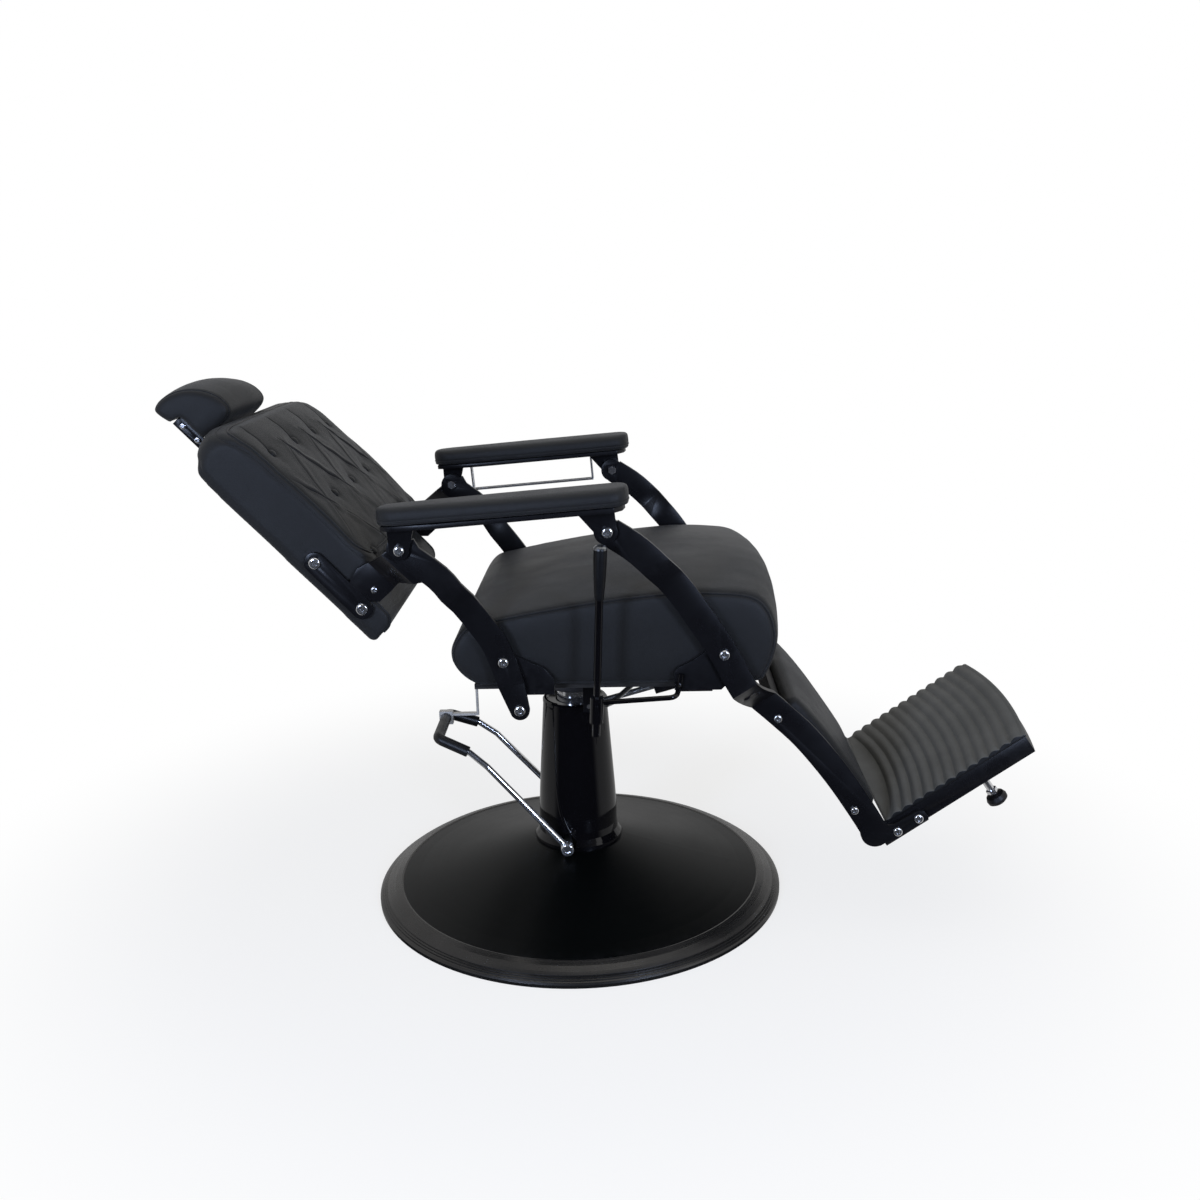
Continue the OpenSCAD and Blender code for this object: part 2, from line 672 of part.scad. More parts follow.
// ---------- rear links and back ----------
strap_in = back_w / 2 + 1;
strap_t = 6;
strap_out = strap_in + strap_t;
rear_line = smooth_run([arm_rear + [6, -6], [-184, 641], [-158, 608], [-122, 560],
                        [-102, 526], [-82, 466], [rear_pivot[0] + 22, rear_pivot[1] - 78]], 3);
rear_body = [for (i = [0:len(rear_line) - 4]) rear_line[i]];
tip = rear_line[len(rear_line) - 1];
tip_r = 15;
rear_fall = -52;
rear_from = [-160, 622];
module rear_link_side() {
    mid_arm = arm_plane - link_t / 2;
    mid_seat = seat_plane + side_gap + link_t / 2;
    mid_strap = strap_out - strap_t / 2;
    difference() {
        union() {
            intersection() {
                plate(0, arm_plane + 20) {
                    w = link_w / 2 - 1.5;
                    polygon(band(rear_body, w));
                    taper(rear_body[len(rear_body) - 1], tip, w, tip_r);
                    translate(arm_rear) circle(r = w);
                    translate(tip) circle(r = tip_r);
                }
                joggle(rear_from, rear_fall,
                       [[-160, mid_arm], [0, mid_arm], [26, mid_seat], [300, mid_seat]], link_t);
            }
            // arm that reaches inward to the strap on the back
            intersection() {
                plate(0, arm_plane + 20)
                    polygon([[-216, 700], [-258, 681], [-286, 660], [-312, 646],
                             [-325.3, 625.1], [-296.6, 594.4], [-281, 594], [-262, 611],
                             [-246, 628], [-205, 634], [-190, 650]]);
                joggle([-250, 655], 225, [[-90, mid_arm], [-6, mid_arm], [30, mid_strap],
                                          [120, mid_strap]], strap_t);
            }
        }
        across(arm_rear, hole_r, -400, 400);
        across(rear_pivot, hole_r, -400, 400);
        across(tip, 4, -400, 400);
    }
}
module rear_link_right() color("#17181a") rear_link_side();
module rear_link_left() color("#17181a") mirror([0, 1, 0]) rear_link_side();

// Flat prongs that carry the headrest, side on to the sitter
prong_y = 88;
prong_n0 = -8;
prong_n1 = prong_n0 + prong_w;
socket_wall = 3;
// The back's own frame: x out of the cushion's face, z up along the back
back_corner = [-302, 521];
module on_back()
    translate([back_corner[0], 0, back_corner[1]]) rotate([0, back_angle - 90, 0]) children();
module back_plate(w0, w1) on_back() plate(w0, w1) children();
strap_a = [37, 50];
strap_b = [38, 149];
strap_r = 16.5;
module back_straps()
    color("#17181a") both_sides() back_plate(strap_in, strap_out) difference() {
        union() {
            polygon(band([strap_a, strap_b], strap_r));
            for (c = [strap_a, strap_b]) translate(c) circle(r = strap_r);
        }
        for (c = [strap_a, strap_b]) translate(c) circle(r = 4);
    }

// Upholstered shell: the board of the back with its leather-covered tail
module back_shell()
    color("#242629") difference() {
        back_plate(-strap_in, strap_in) polygon([
            [4, 10], [4, back_l - 20], [6, back_l - 10], [12, back_l - 3], [22, back_l],
            [22, 172], [50, 158], [56, 84], [57, 40], [56, 12], [50, 3], [40, 0], [12, 2]]);
        both_sides() on_back() {
            for (c = [strap_a, strap_b])
                across(c, 3.6, -strap_in - 1, -(strap_in - 20));
            translate([0, prong_y - socket_wall - 0.2, back_l - 110])
                cube([prong_n1 + socket_wall + 0.2, prong_t + 2 * socket_wall + 0.4, 130]);
        }
    }

tuft_mid = 0.534 * back_l;
tuft_rows = [for (r = [1:3], j = [-2:1])
    if (r != 2 || j > -2)
        [r == 2 ? j * tuft_pitch : (j + 0.5) * tuft_pitch, tuft_mid + (2 - r) * tuft_row]];
function tuft_at(y, u) =
    max([for (t = tuft_rows) exp(-(pow(y - t[0], 2) + pow(u - t[1], 2)) / 700)]);
// Sewn folds run along the diamonds between the tufts
function fold(y, u) =
    let (a = (u - tuft_mid) / tuft_row, b = y / (tuft_pitch / 2),
         near = min(abs((a + b + 100) % 2 - 1), abs((a - b + 100) % 2 - 1)))
    exp(-near * near / 0.03) * smooth_step((u - 105) / 25) * smooth_step((345 - u) / 30);
// Height of the face at the seam, along the back, and the rise over it
face_n = [[0.23, back_t - 2], [0.27, back_t + 0.3], [0.34, back_t + 1], [0.52, back_t + 1],
          [0.70, back_t], [0.846, back_t - 3], [0.9, back_t - 6], [0.97, back_t - 12]];
function face_rise(y, u) =
    back_crown * sqrt(max(0, 1 - pow(2 * y / back_w, 2)))
    - tuft_depth * tuft_at(y, u) - 4 * fold(y, u);
back_lip = smooth_run([[56.4, 0.224 * back_l], [74, 0.205 * back_l], [90, 0.215 * back_l],
                       [back_t - 1, 0.242 * back_l]], 2);
back_front = [for (k = [-4.5:1:7]) let (u = tuft_mid + k * tuft_row / 5)
    [lookup(u / back_l, face_n), u]];
back_top = smooth_run([[back_t - 12, 0.972 * back_l], [66, 1.034 * back_l],
                       [42, 1.048 * back_l], [24, 1.026 * back_l]], 3);
back_rear = [[22.4, 0.94 * back_l], [22.4, 0.73 * back_l], [22.4, 0.55 * back_l], [22.4, 173],
             [50.5, 158.6], [56.4, 110]];
function back_ring(y, inset) =
    let (mid = [60, back_l * 0.62])
    [for (p = concat(back_lip, back_front, back_top, back_rear))
        let (front = smooth_step((p[0] - 70) / 20),
             q = [p[0] - (p[0] - 56) * clamp01(inset / 40) * front,
                  p[1] + (mid[1] - p[1]) * inset / (back_l * 0.42)])
        [q[0] + face_rise(y, p[1]) * front, y, q[1]]];
module back_cushion() {
    b = back_w / 2;
    edge = [[b, 14], [b - 2, 6], [b - 8, 1.5], [b - 18, 0]];
    mids = [for (i = [10:-1:1]) [i * tuft_pitch / 6, 0]];
    half = concat(edge, mids);
    stations = concat([for (e = half) [-e[0], e[1]]], [[0, 0]],
                      [for (i = [len(half) - 1:-1:0]) half[i]]);
    color("#26282b") on_back() skin([for (e = stations) back_ring(e[0], e[1])]);
}

button_gap = 5.6;
module back_buttons()
    color("#202225") on_back() for (t = tuft_rows)
        translate([lookup(t[1] / back_l, face_n) + face_rise(t[0], t[1]) + button_gap,
                   t[0], t[1]])
            rotate([0, 90, 0]) cylinder(r = 8.5, h = 5);

arm_foot = [-288, 613];
module back_screws()
    color("#c9cbce") both_sides() {
        for (c = [strap_a, strap_b]) {
            on_back() across(c, 3.5, -strap_out, -(strap_in - 16));
            on_back() bolt_head(c, strap_out, 9, 4);
        }
        across(tip, 3.9, -link_out_seat, -(seat_plane - 4));
        bolt_head(tip, link_out_seat, 8.5, 4);
        across(tip, 7, -(seat_plane + side_gap), -(seat_plane - 4));
        bolt_head(arm_foot, strap_out, 5, 3);
    }

module arm_bolts_rear()
    color("#c9cbce") both_sides() {
        across(arm_rear, pivot_r, -(tab_in + tab_t), -(link_in_arm - 1));
        bolt_head(arm_rear, tab_in + tab_t + 0.2);
        across(arm_rear, 8, -(link_in_arm), -(link_in_arm - 6));
    }

module headrest_sockets()
    color("#202022") both_sides() on_back() difference() {
        translate([prong_n0 - socket_wall, prong_y - socket_wall, back_l - 110])
            cube([prong_w + 2 * socket_wall, prong_t + 2 * socket_wall, 108]);
        translate([prong_n0 - 0.15, prong_y - 0.15, back_l - 112])
            cube([prong_w + 0.3, prong_t + 0.3, 130]);
    }

// ---------- headrest ----------
// Side outline from the top end of the back's board, with the recess for its prongs
headrest_at = [back_corner[0] - back_l * cos(back_angle), back_corner[1] + back_l * sin(back_angle)];
headrest_outline = [[-86, 72], [-81, 82], [-66, 94], [-46, 101.7], [-26, 104.2], [-5, 102.2],
                    [12, 96.2], [26, 87.2], [36, 74.2], [32, 61.2], [19, 48.2], [4, 36.2],
                    [-13.1, 27.2]];
headrest_seat = [[-12.6, 28.7], [-30.1, 47.7], [-47.1, 66.7], [-55.1, 60.2], [-62.6, 54.2],
                 [-76.1, 63.2]];
headrest_mid = [-26, 66.2];
function headrest_ring(y, s) =
    let (b = headrest_w / 2, k = 1 - pow(y / b, 2))
    [for (p = concat(smooth_run(headrest_outline, 3), headrest_seat))
        let (top = smooth_step((p[1] - headrest_mid[1]) / 25),
             q = headrest_mid + (p - headrest_mid) * s)
        [q[0], y, q[1] + 9 * max(0, k) * top]];
module headrest_cushion() {
    b = headrest_w / 2;
    half = [[b + 4, 0.55], [b + 2, 0.82], [b - 1, 0.94], [b - 7, 0.99], [b - 16, 1],
            [b * 0.55, 1], [b * 0.28, 1]];
    stations = concat([for (e = half) [-e[0], e[1]]], [[0, 1]],
                      [for (i = [len(half) - 1:-1:0]) half[i]]);
    color("#26282b") translate([headrest_at[0], 0, headrest_at[1]])
        skin([for (e = stations) headrest_ring(e[0], e[1])], [-48, 82]);
}

prong_top = back_l + 78;
prong_low = back_l - 100;
screw_u = [back_l + 33, back_l + 64];
module headrest_prongs()
    color("#1b1b1d") on_back() {
        both_sides() difference() {
            translate([prong_n0, prong_y, prong_low])
                cube([prong_w, prong_t, prong_top - prong_low]);
            for (u = screw_u) across([prong_n0 + 9, u], 2.6, 0, 200);
        }
        // plate across, screwed under the headrest
        translate([prong_n1 - 3, -prong_y, screw_u[0] + 7])
            cube([3, 2 * prong_y, prong_top - screw_u[0] - 7]);
    }

module headrest_screws()
    color("#c9cbce") both_sides() on_back() for (u = screw_u) {
        across([prong_n0 + 9, u], 2.5, -(prong_y + prong_t), -prong_y);
        bolt_head([prong_n0 + 9, u], prong_y + prong_t, 5, 3);
    }

// ---------- front links and leg rest ----------
corner_at = [511, 192];
module on_plate()
    translate([corner_at[0], 0, corner_at[1]]) rotate([0, -plate_angle, 0]) children();
front_line = smooth_run([arm_front + [4, -2], [116, 674], [168, 620], [206, 566],
                         front_pivot + [1, -2], [264, 466], [290, 427], [334, 386],
                         [378, 343], [428, 280], [470, 217], [497, 172]], 4);
joggle_from = [278, 458];
front_fall = -58;
upper_from = [140, 648];
module front_link_side() {
    mid_arm = arm_plane - link_t / 2;
    mid_seat = seat_plane + side_gap + link_t / 2;
    mid_leg = leg_plane - link_t / 2;
    difference() {
        union() {
            // upper part, bent outward to the armrest
            intersection() {
                plate(0, arm_plane + 20) {
                    polygon(band([for (i = [0:20]) front_line[i]], link_w / 2));
                    translate(arm_front) circle(d = link_w - 2);
                }
                joggle(upper_from, -50, [[-160, mid_arm], [0, mid_arm], [26, mid_seat],
                                         [400, mid_seat]], link_t);
                translate([-500, -500, front_pivot[1] - 20]) cube([1500, 1000, 500]);
            }
            // lower part, bent inward to the leg rest
            intersection() {
                plate(0, arm_plane + 20) {
                    polygon(band([for (i = [14:len(front_line) - 1]) front_line[i]],
                                 link_w / 2));
                    translate([494, 176]) circle(r = 24);
                    on_plate_2d() polygon([[-20, 1 - flange_h], [60, 1 - flange_h],
                                           [62, 5 - flange_h], [62, -16], [54, -10],
                                           [10, -8], [-20, 10]]);
                }
                joggle(joggle_from, front_fall,
                       [[-300, mid_seat], [0, mid_seat], [57, mid_leg], [700, mid_leg]],
                       link_t);
                translate([-500, -500, -20]) cube([1500, 1000, front_pivot[1]]);
            }
        }
        across(arm_front, hole_r, -400, 400);
        across(front_pivot, hole_r, -400, 400);
        across(tube_at, tube_r + run_fit, -tube_half - 0.1, 0);
        leg_bores(3.55, 3);
    }
}
// Bores for the bolts that hold the footplate and the calf board to the links
calf_bolts = [[-34, 18], [-42, 222]];
plate_bolts = [[8, 12 - flange_h], [48, 12 - flange_h]];
module leg_bores(r_plate, r_calf) {
    on_plate() for (c = plate_bolts) across(c, r_plate, -300, 300);
    on_calf() for (c = calf_bolts) across(c, r_calf, -300, 300);
}
module on_plate_2d() translate(corner_at) rotate(plate_angle) children();
module front_link_right() color("#17181a") front_link_side();
module front_link_left() color("#17181a") mirror([0, 1, 0]) front_link_side();

leg_in = leg_plane - link_t;
tube_half = seat_plane - 22;
module leg_cross_tube()
    color("#17181a") across(tube_at, tube_r, -tube_half, tube_half);

// The calf pad's own frame: x out of the pad's face, z up along the leg
calf_foot = [497, 222];
module on_calf()
    translate([calf_foot[0], 0, calf_foot[1]]) rotate([0, calf_angle - 90, 0]) children();
calf_board_t = 16;
module calf_board()
    color("#101010") difference() {
        on_calf() translate([-calf_t - calf_board_t, -leg_in + 0.1, 6])
            cube([calf_board_t, 2 * leg_in - 0.2, calf_l - 34]);
        leg_bores(3.55, 3);
    }

calf_section = [[-calf_t + soft_gap / 2, 0], [-calf_t + 8, -4], [-6, -5], [0, 4], [1.5, 40],
                [1.5, calf_l * 0.35], [1.5, calf_l * 0.65], [0, calf_l - 22],
                [-6, calf_l - 6], [-calf_t + 8, calf_l], [-calf_t + soft_gap / 2, calf_l - 5]];
calf_rear = [for (f = [0.75, 0.5, 0.25]) [-calf_t + soft_gap / 2, f * calf_l]];
function calf_ring(y, inset) =
    let (b = calf_w / 2, k = max(0, 1 - pow(y / b, 2)), mid = calf_l / 2)
    [for (p = concat(smooth_run(calf_section, 2), calf_rear))
        let (front = smooth_step((p[0] + calf_t) / 14),
             lift = calf_crown * sqrt(k) * sin(180 * clamp01(p[1] / calf_l)))
        [max(-calf_t + soft_gap / 2, p[0] - inset * front + lift * front), y,
         mid + (p[1] - mid) * (1 - 2 * inset / calf_l)]];
module calf_cushion() {
    b = calf_w / 2;
    half = [[b, 12], [b - 1.5, 6], [b - 6, 2], [b - 14, 0], [b * 0.7, 0], [b * 0.4, 0]];
    stations = concat([for (e = half) [-e[0], e[1]]], [[0, 0]],
                      [for (i = [len(half) - 1:-1:0]) half[i]]);
    color("#26282b") on_calf() skin([for (e = stations) calf_ring(e[0], e[1])]);
}

// ---------- footplate ----------
tray_half = leg_in - 0.1;
sagitta = rib_arc_r - sqrt(rib_arc_r * rib_arc_r - tray_half * tray_half);
// How far the tray's sides run to meet the folded front edge
side_l = sagitta - rib_arc_r - tray_t / 2
    + sqrt(pow(rib_arc_r + plate_l, 2) - tray_half * tray_half);
module arc_slab(a0, a1, z0, z1, half = tray_half)
    intersection() {
        translate([sagitta - rib_arc_r, 0, z0]) difference() {
            cylinder(r = rib_arc_r + a1, h = z1 - z0, $fn = 96);
            translate([0, 0, -1]) cylinder(r = rib_arc_r + a0, h = z1 - z0 + 2, $fn = 96);
        }
        translate([-200, -half, z0 - 1]) cube([800, 2 * half, z1 - z0 + 2]);
    }
// Smooth heel behind the first rib, dished up to the straight inner edge
heel_rise = 20;
heel_run = 8;
heel_edge = 2.4;
function heel_top(lift) =
    [for (i = [0:5]) let (u = 1 - i / 5)
        [heel_run - u * (sagitta + heel_run + 1), 1 + lift + heel_rise * u * u]];
module about_arc() translate([sagitta - rib_arc_r, 0, 0]) rotate_extrude($fn = 96)
    translate([rib_arc_r, 0]) children();
module across_tray(x0, x1) translate([x0, -tray_half, -10]) cube([x1 - x0, 2 * tray_half, 50]);
stud_at = [170, 150];
stud_r = 6.2;
module footplate_tray()
    color("#141416") on_plate() difference() {
        union() {
            arc_slab(0, plate_l, -tray_t - 3, -3);
            // straight inner edge, its lip turned up behind the heel
            translate([0, -tray_half, -tray_t - 3])
                cube([sagitta + tray_t, 2 * tray_half, tray_t]);
            intersection() {
                about_arc() polygon(concat([[-sagitta - 1, -4]], heel_top(0.8),
                                           [[heel_run, -4]]));
                across_tray(0, heel_edge);
            }
            for (s = [-1, 1])
                translate([0, s * (tray_half - tray_t / 2) - tray_t / 2, -flange_h])
                    cube([side_l, tray_t, flange_h - 3]);
            // stiffening channel that also takes the studs
            translate([stud_at[0] - 16, -tray_half + tray_t, -tray_t - 15])
                cube([32, 2 * (tray_half - tray_t), 12]);
            // folded front edge
            arc_slab(plate_l - tray_t, plate_l, -flange_h, -3);
        }
        for (s = [-1, 1])
            translate([stud_at[0], s * stud_at[1], -flange_h])
                cylinder(r = stud_r + 0.02, h = flange_h);
        for (c = plate_bolts)
            across(c, 3.5 + run_fit, -300, 300);
    }

rib_from = heel_run + 3;
rib_pitch = (plate_l - 5 - rib_from) / rib_n;
tread_top = [for (i = [0:rib_n * 6])
    [rib_from + i * rib_pitch / 6, 1 + rib_h * abs(sin(i * 30))]];
module tread_pad()
    color("#3a3a38") on_plate() intersection() {
        about_arc() polygon(concat([[-sagitta - 1, -2.9]], heel_top(0), tread_top,
                                   [[plate_l - 1, 1], [plate_l + 2, -1],
                                    [plate_l + 2, -2.9]]));
        across_tray(heel_edge + 0.1, plate_l + 60);
    }

module leg_bolts()
    color("#c9cbce") both_sides() {
        on_plate() for (c = plate_bolts) {
            across(c, 3.5, -leg_plane, -(leg_plane - 20));
            bolt_head(c, leg_plane, 7.5, 4);
        }
        on_calf() for (c = calf_bolts) {
            across(c, 2.9, -leg_plane, -(leg_plane - 20));
            bolt_head(c, leg_plane, 6.5, 3.5);
        }
    }

foot_h = 18;
// Threaded studs, each with a hexagon locknut above its rubber foot
module foot_studs()
    color("#d2d4d6") on_plate() for (s = [-1, 1])
        translate([stud_at[0], s * stud_at[1], -flange_h - stud_l]) {
            cylinder(r = stud_r, h = stud_l + flange_h - 4);
            translate([0, 0, foot_h / 2 + 2]) cylinder(r = 9.5, h = 6, $fn = 6);
        }

module stud_feet()
    color("#141414") on_plate() for (s = [-1, 1])
        translate([stud_at[0], s * stud_at[1], -flange_h - stud_l - foot_h / 2])
            difference() {
                rotate_extrude() polygon([[0, 0], [13, 0], [17, 3], [17.5, 8], [15, 14],
                                          [8, 17], [8, foot_h], [0, foot_h]]);
                translate([0, 0, foot_h / 2]) cylinder(r = stud_r + 0.05, h = foot_h);
            }

module arm_bolts_front()
    color("#c9cbce") both_sides() {
        across(arm_front, pivot_r, -(tab_in + tab_t + 0.4), -(link_in_arm - 1));
        bolt_head(arm_front, tab_in + tab_t + 0.4);
        across(arm_front, 8, -(link_in_arm), -(link_in_arm - 6));
    }

// ---------- armrests ----------
// The armrest's own frame: x along the line through its pivots, z away from it
pad_x0 = -27;
pad_mid = arm_plane + 1;
rail_w = pad_w - 14;
module on_arm(y = 0)
    translate([arm_rear[0], y, arm_rear[1]]) rotate([0, -arm_angle, 0]) children();
module rail_side() {
    on_arm(-pad_mid) translate([0, 0, rail_lift]) linear_extrude(rail_t)
        polygon([[pad_x0 + 6, -16], [pad_x0 + 20, -24], [60, -rail_w / 2], [pad_l - 50, -rail_w / 2],
                 [pad_l - 38, -20], [pad_l - 34, 0], [pad_l - 38, 20], [pad_l - 50, rail_w / 2],
                 [60, rail_w / 2], [pad_x0 + 20, 24], [pad_x0 + 6, 16]]);
    difference() {
        on_arm() plate(tab_in, tab_in + tab_t) {
            polygon([[-15, 0], [-14, rail_lift + 1], [26, rail_lift + 1], [15, 0]]);
            circle(r = 15);
            polygon([[arm_span - 11, -10], [arm_span - 44, rail_lift + 1],
                     [arm_span + 13, rail_lift + 1], [arm_span + 14, 0]]);
            translate([arm_span, 0]) circle(r = 15);
        }
        on_arm() across([0, 0], hole_r, -400, 400);
        on_arm() across([arm_span, 0], pivot_r + open_play, -400, 400);
    }
}
module armrest_rail_right() color("#17181a") rail_side();
module armrest_rail_left() color("#17181a") mirror([0, 1, 0]) rail_side();

// Half width of the pad at share f of its length: narrow at the rear, round at both ends
function pad_half(f) =
    (pad_w / 2 - 9 + 9 * smooth_step(f / 0.6))
    * sqrt(clamp01(1 - pow(clamp01((0.1 - f) / 0.1), 2.4)))
    * sqrt(clamp01(1 - pow(clamp01((f - 0.93) / 0.07), 2.4)));
pad_ring_n = 24;
function pad_ring(f) =
    let (h = max(2, pad_half(f)), low = rail_lift + rail_t + 0.2,
         t = pad_t * (0.55 + 0.45 * sqrt(clamp01(h / 20))))
    [for (i = [0:pad_ring_n - 1])
        let (a = 360 * i / pad_ring_n, c = cos(a), s = sin(a),
             y = h * sign(c) * pow(abs(c), 0.45),
             z = (s > 0 ? (t * 0.62 + 3) * pow(s, 0.62) : -t * 0.38 * pow(-s, 0.35)))
        [pad_x0 + f * pad_l, y, low + t * 0.38 + z]];
pad_steps = [0.001, 0.006, 0.016, 0.035, 0.065, 0.1, 0.2, 0.35, 0.5, 0.65, 0.8, 0.93, 0.955,
             0.975, 0.988, 0.996, 0.9995];
module pad_side()
    on_arm(-pad_mid) skin([for (f = pad_steps) pad_ring(f)]);
module armrest_pad_right() color("#26282b") pad_side();
module armrest_pad_left() color("#26282b") mirror([0, 1, 0]) pad_side();

module towel_rail() {
    r = towel_wire_d / 2;
    x0 = 38;
    x1 = 268;
    low = -16;
    color("#d2d4d6") mirror([0, 1, 0]) on_arm(-pad_mid)
        for (y = [-12, -24]) rod([[x0, y, rail_lift - r], [x0, y, low],
                                  [x1, y, low], [x1, y, rail_lift - r]], r);
    color("#d2d4d6") mirror([0, 1, 0]) on_arm(-pad_mid) for (x = [x0, x1])
        translate([x - 7, -27, rail_lift - r]) cube([14, 18, r]);
}

// ---------- every piece ----------
base_ring();
base_dome();
base_weight();
pump_body();
pump_bolts();
ram_gland();
column_shroud();
shroud_collar();
ram();
thrust_ring();
pedal_shaft();
pedal_lever();
pedal_grip();
pedal_bolts();
pedal_hook();
pump_plunger();
swivel_head();
seat_frame();
seat_brackets_front();
seat_brackets_rear();
seat_board();
seat_cushion();
seat_pivot_bolts();
lever_guard_rod();
release_rod();
cylinder_rod();
cylinder_barrel();
rear_link_right();
rear_link_left();
back_straps();
back_shell();
back_cushion();
back_buttons();
back_screws();
arm_bolts_rear();
headrest_sockets();
headrest_prongs();
headrest_cushion();
headrest_screws();
front_link_right();
front_link_left();
leg_cross_tube();
calf_board();
calf_cushion();
footplate_tray();
tread_pad();
leg_bolts();
foot_studs();
stud_feet();
arm_bolts_front();
armrest_rail_right();
armrest_pad_right();
armrest_rail_left();
armrest_pad_left();
towel_rail();
lever_rod();
lever_sleeve();
lever_grip();
lever_cap();
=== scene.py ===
"""Hydraulic barber chair: upholstery, finishes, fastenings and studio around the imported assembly.

Everything is in metres, in the assembly's own frame: +X is the sitter's front, -Y the sitter's
right, +Z up.
"""
import json
import math
from contextlib import contextmanager
from functools import partial, reduce

import bmesh
import bpy
import numpy as np
from mathutils import Matrix, Vector
from mathutils.bvhtree import BVHTree
from mathutils.kdtree import KDTree

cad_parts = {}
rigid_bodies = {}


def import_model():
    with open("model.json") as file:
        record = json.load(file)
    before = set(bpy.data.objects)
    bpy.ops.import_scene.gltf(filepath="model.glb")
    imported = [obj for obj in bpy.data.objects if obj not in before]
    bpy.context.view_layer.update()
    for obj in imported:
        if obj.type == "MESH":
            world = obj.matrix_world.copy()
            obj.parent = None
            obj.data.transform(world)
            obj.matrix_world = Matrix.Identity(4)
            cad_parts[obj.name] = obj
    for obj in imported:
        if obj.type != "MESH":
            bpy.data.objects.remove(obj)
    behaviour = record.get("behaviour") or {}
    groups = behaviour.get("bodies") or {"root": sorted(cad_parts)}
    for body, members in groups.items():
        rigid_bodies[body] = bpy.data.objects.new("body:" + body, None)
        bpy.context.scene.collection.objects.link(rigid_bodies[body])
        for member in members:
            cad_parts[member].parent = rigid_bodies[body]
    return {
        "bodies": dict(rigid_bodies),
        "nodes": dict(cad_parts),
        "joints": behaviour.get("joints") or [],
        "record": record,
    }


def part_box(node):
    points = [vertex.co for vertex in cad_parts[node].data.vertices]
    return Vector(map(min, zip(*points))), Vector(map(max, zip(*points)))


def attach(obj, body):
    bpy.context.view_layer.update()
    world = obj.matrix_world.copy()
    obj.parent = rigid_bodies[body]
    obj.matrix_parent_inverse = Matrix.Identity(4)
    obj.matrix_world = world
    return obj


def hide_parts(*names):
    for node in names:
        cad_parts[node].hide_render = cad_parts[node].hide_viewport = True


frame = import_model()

bl_info = {
    "name": "Hydraulic barber chair",
    "version": (1, 0, 0),
    "blender": (4, 5, 0),
    "location": "View3D > Sidebar > Barber chair",
    "description": "Upholsters, paints and stages a reclining hydraulic barber chair",
    "category": "Object",
}

NODES = frame["nodes"]
BODY_OF = {n: b for b, ns in frame["record"]["behaviour"]["bodies"].items() for n in ns}
SIDES = ((-1, "right"), (1, "left"))
WELD = 0.00002


# ---------- small workshop helpers ----------

def clear():
    if bpy.context.object and bpy.context.object.mode != "OBJECT":
        bpy.ops.object.mode_set(mode="OBJECT")
    bpy.ops.object.select_all(action="DESELECT")


def pick(*objs):
    clear()
    for o in objs:
        o.select_set(True)
    bpy.context.view_layer.objects.active = objs[0]
    return objs[0]


@contextmanager
def editing(o, action="SELECT"):
    """Edit mode on one object, with all of it selected, none of it, or as it was."""
    pick(o)
    bpy.ops.object.mode_set(mode="EDIT")
    if action:
        bpy.ops.mesh.select_all(action=action)
    yield
    bpy.ops.object.mode_set(mode="OBJECT")


def new_object(name, data):
    o = bpy.data.objects.new(name, data)
    bpy.context.scene.collection.objects.link(o)
    return o


def apply(o, kind, **settings):
    """Adds one modifier, applies it and returns the object."""
    pick(o)
    m = o.modifiers.new(kind.title(), kind)
    for k, v in settings.items():
        setattr(m, k, v)
    bpy.ops.object.modifier_apply(modifier=m.name)
    return o


def seat_in_place(o, name):
    """Moves the object's place into its mesh and names it."""
    pick(o)
    bpy.ops.object.transform_apply(location=True, rotation=True, scale=True)
    o.name = o.data.name = name
    return o


def join(objs, name):
    pick(*objs)
    if len(objs) > 1:
        bpy.ops.object.join()
    return seat_in_place(bpy.context.view_layer.objects.active, name)


def copy_node(node, name, *more):
    """A welded copy of a node's mesh, or of several together, for a piece that stands for them."""
    copies = [new_object(name, NODES[n].data.copy()) for n in (node, *more)]
    for o in copies:
        o.data.materials.clear()
    o = join(copies, name)
    bpy.ops.mesh.customdata_custom_splitnormals_clear()
    with editing(o):
        bpy.ops.mesh.remove_doubles(threshold=WELD)
    return o


def points(o, kind="co"):
    """The places of the mesh's points, one row each, or their normals."""
    flat = np.empty(len(o.data.vertices) * 3)
    o.data.vertices.foreach_get(kind, flat)
    return flat.reshape(-1, 3)


def normals(o):
    return points(o, "normal")


def set_points(o, co):
    o.data.vertices.foreach_set("co", np.ascontiguousarray(co).ravel())
    o.data.update()


def smooth(o, angle=None):
    pick(o)
    if angle is None:
        bpy.ops.object.shade_smooth()
    else:
        bpy.ops.object.shade_smooth_by_angle(angle=math.radians(angle))
    return o


def paint(o, material):
    o.data.materials.clear()
    o.data.materials.append(material)
    for p in o.data.polygons:
        p.material_index = 0


def dress(o, node, finish=None):
    """Gives a piece its node's body, and the finish of its node's slot or another one."""
    slot, body = NODE_SLOTS[node], BODY_OF[node]
    paint(o, FINISHES[finish or slot])
    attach(o, body)
    return o


def step(t):
    t = np.clip(t, 0, 1)
    return t * t * (3 - 2 * t)


def mound(a, b, radius):
    """A soft round mound, one high, over the distances from its middle in two directions."""
    return np.exp(-(a ** 2 + b ** 2) / radius ** 2)


def on_sides(across, half):
    """One on a cushion's flat side panels, none between them."""
    return step((np.abs(across) - (half - 0.016)) / 0.012)


# ---------- frame of the leaning back ----------

BACK_LEAN = math.radians(43)
BACK_AT = np.array([-0.302, 0, 0.521])
BACK_OUT = np.array([math.cos(BACK_LEAN), 0, math.sin(BACK_LEAN)])
BACK_UP = np.array([-math.sin(BACK_LEAN), 0, math.cos(BACK_LEAN)])


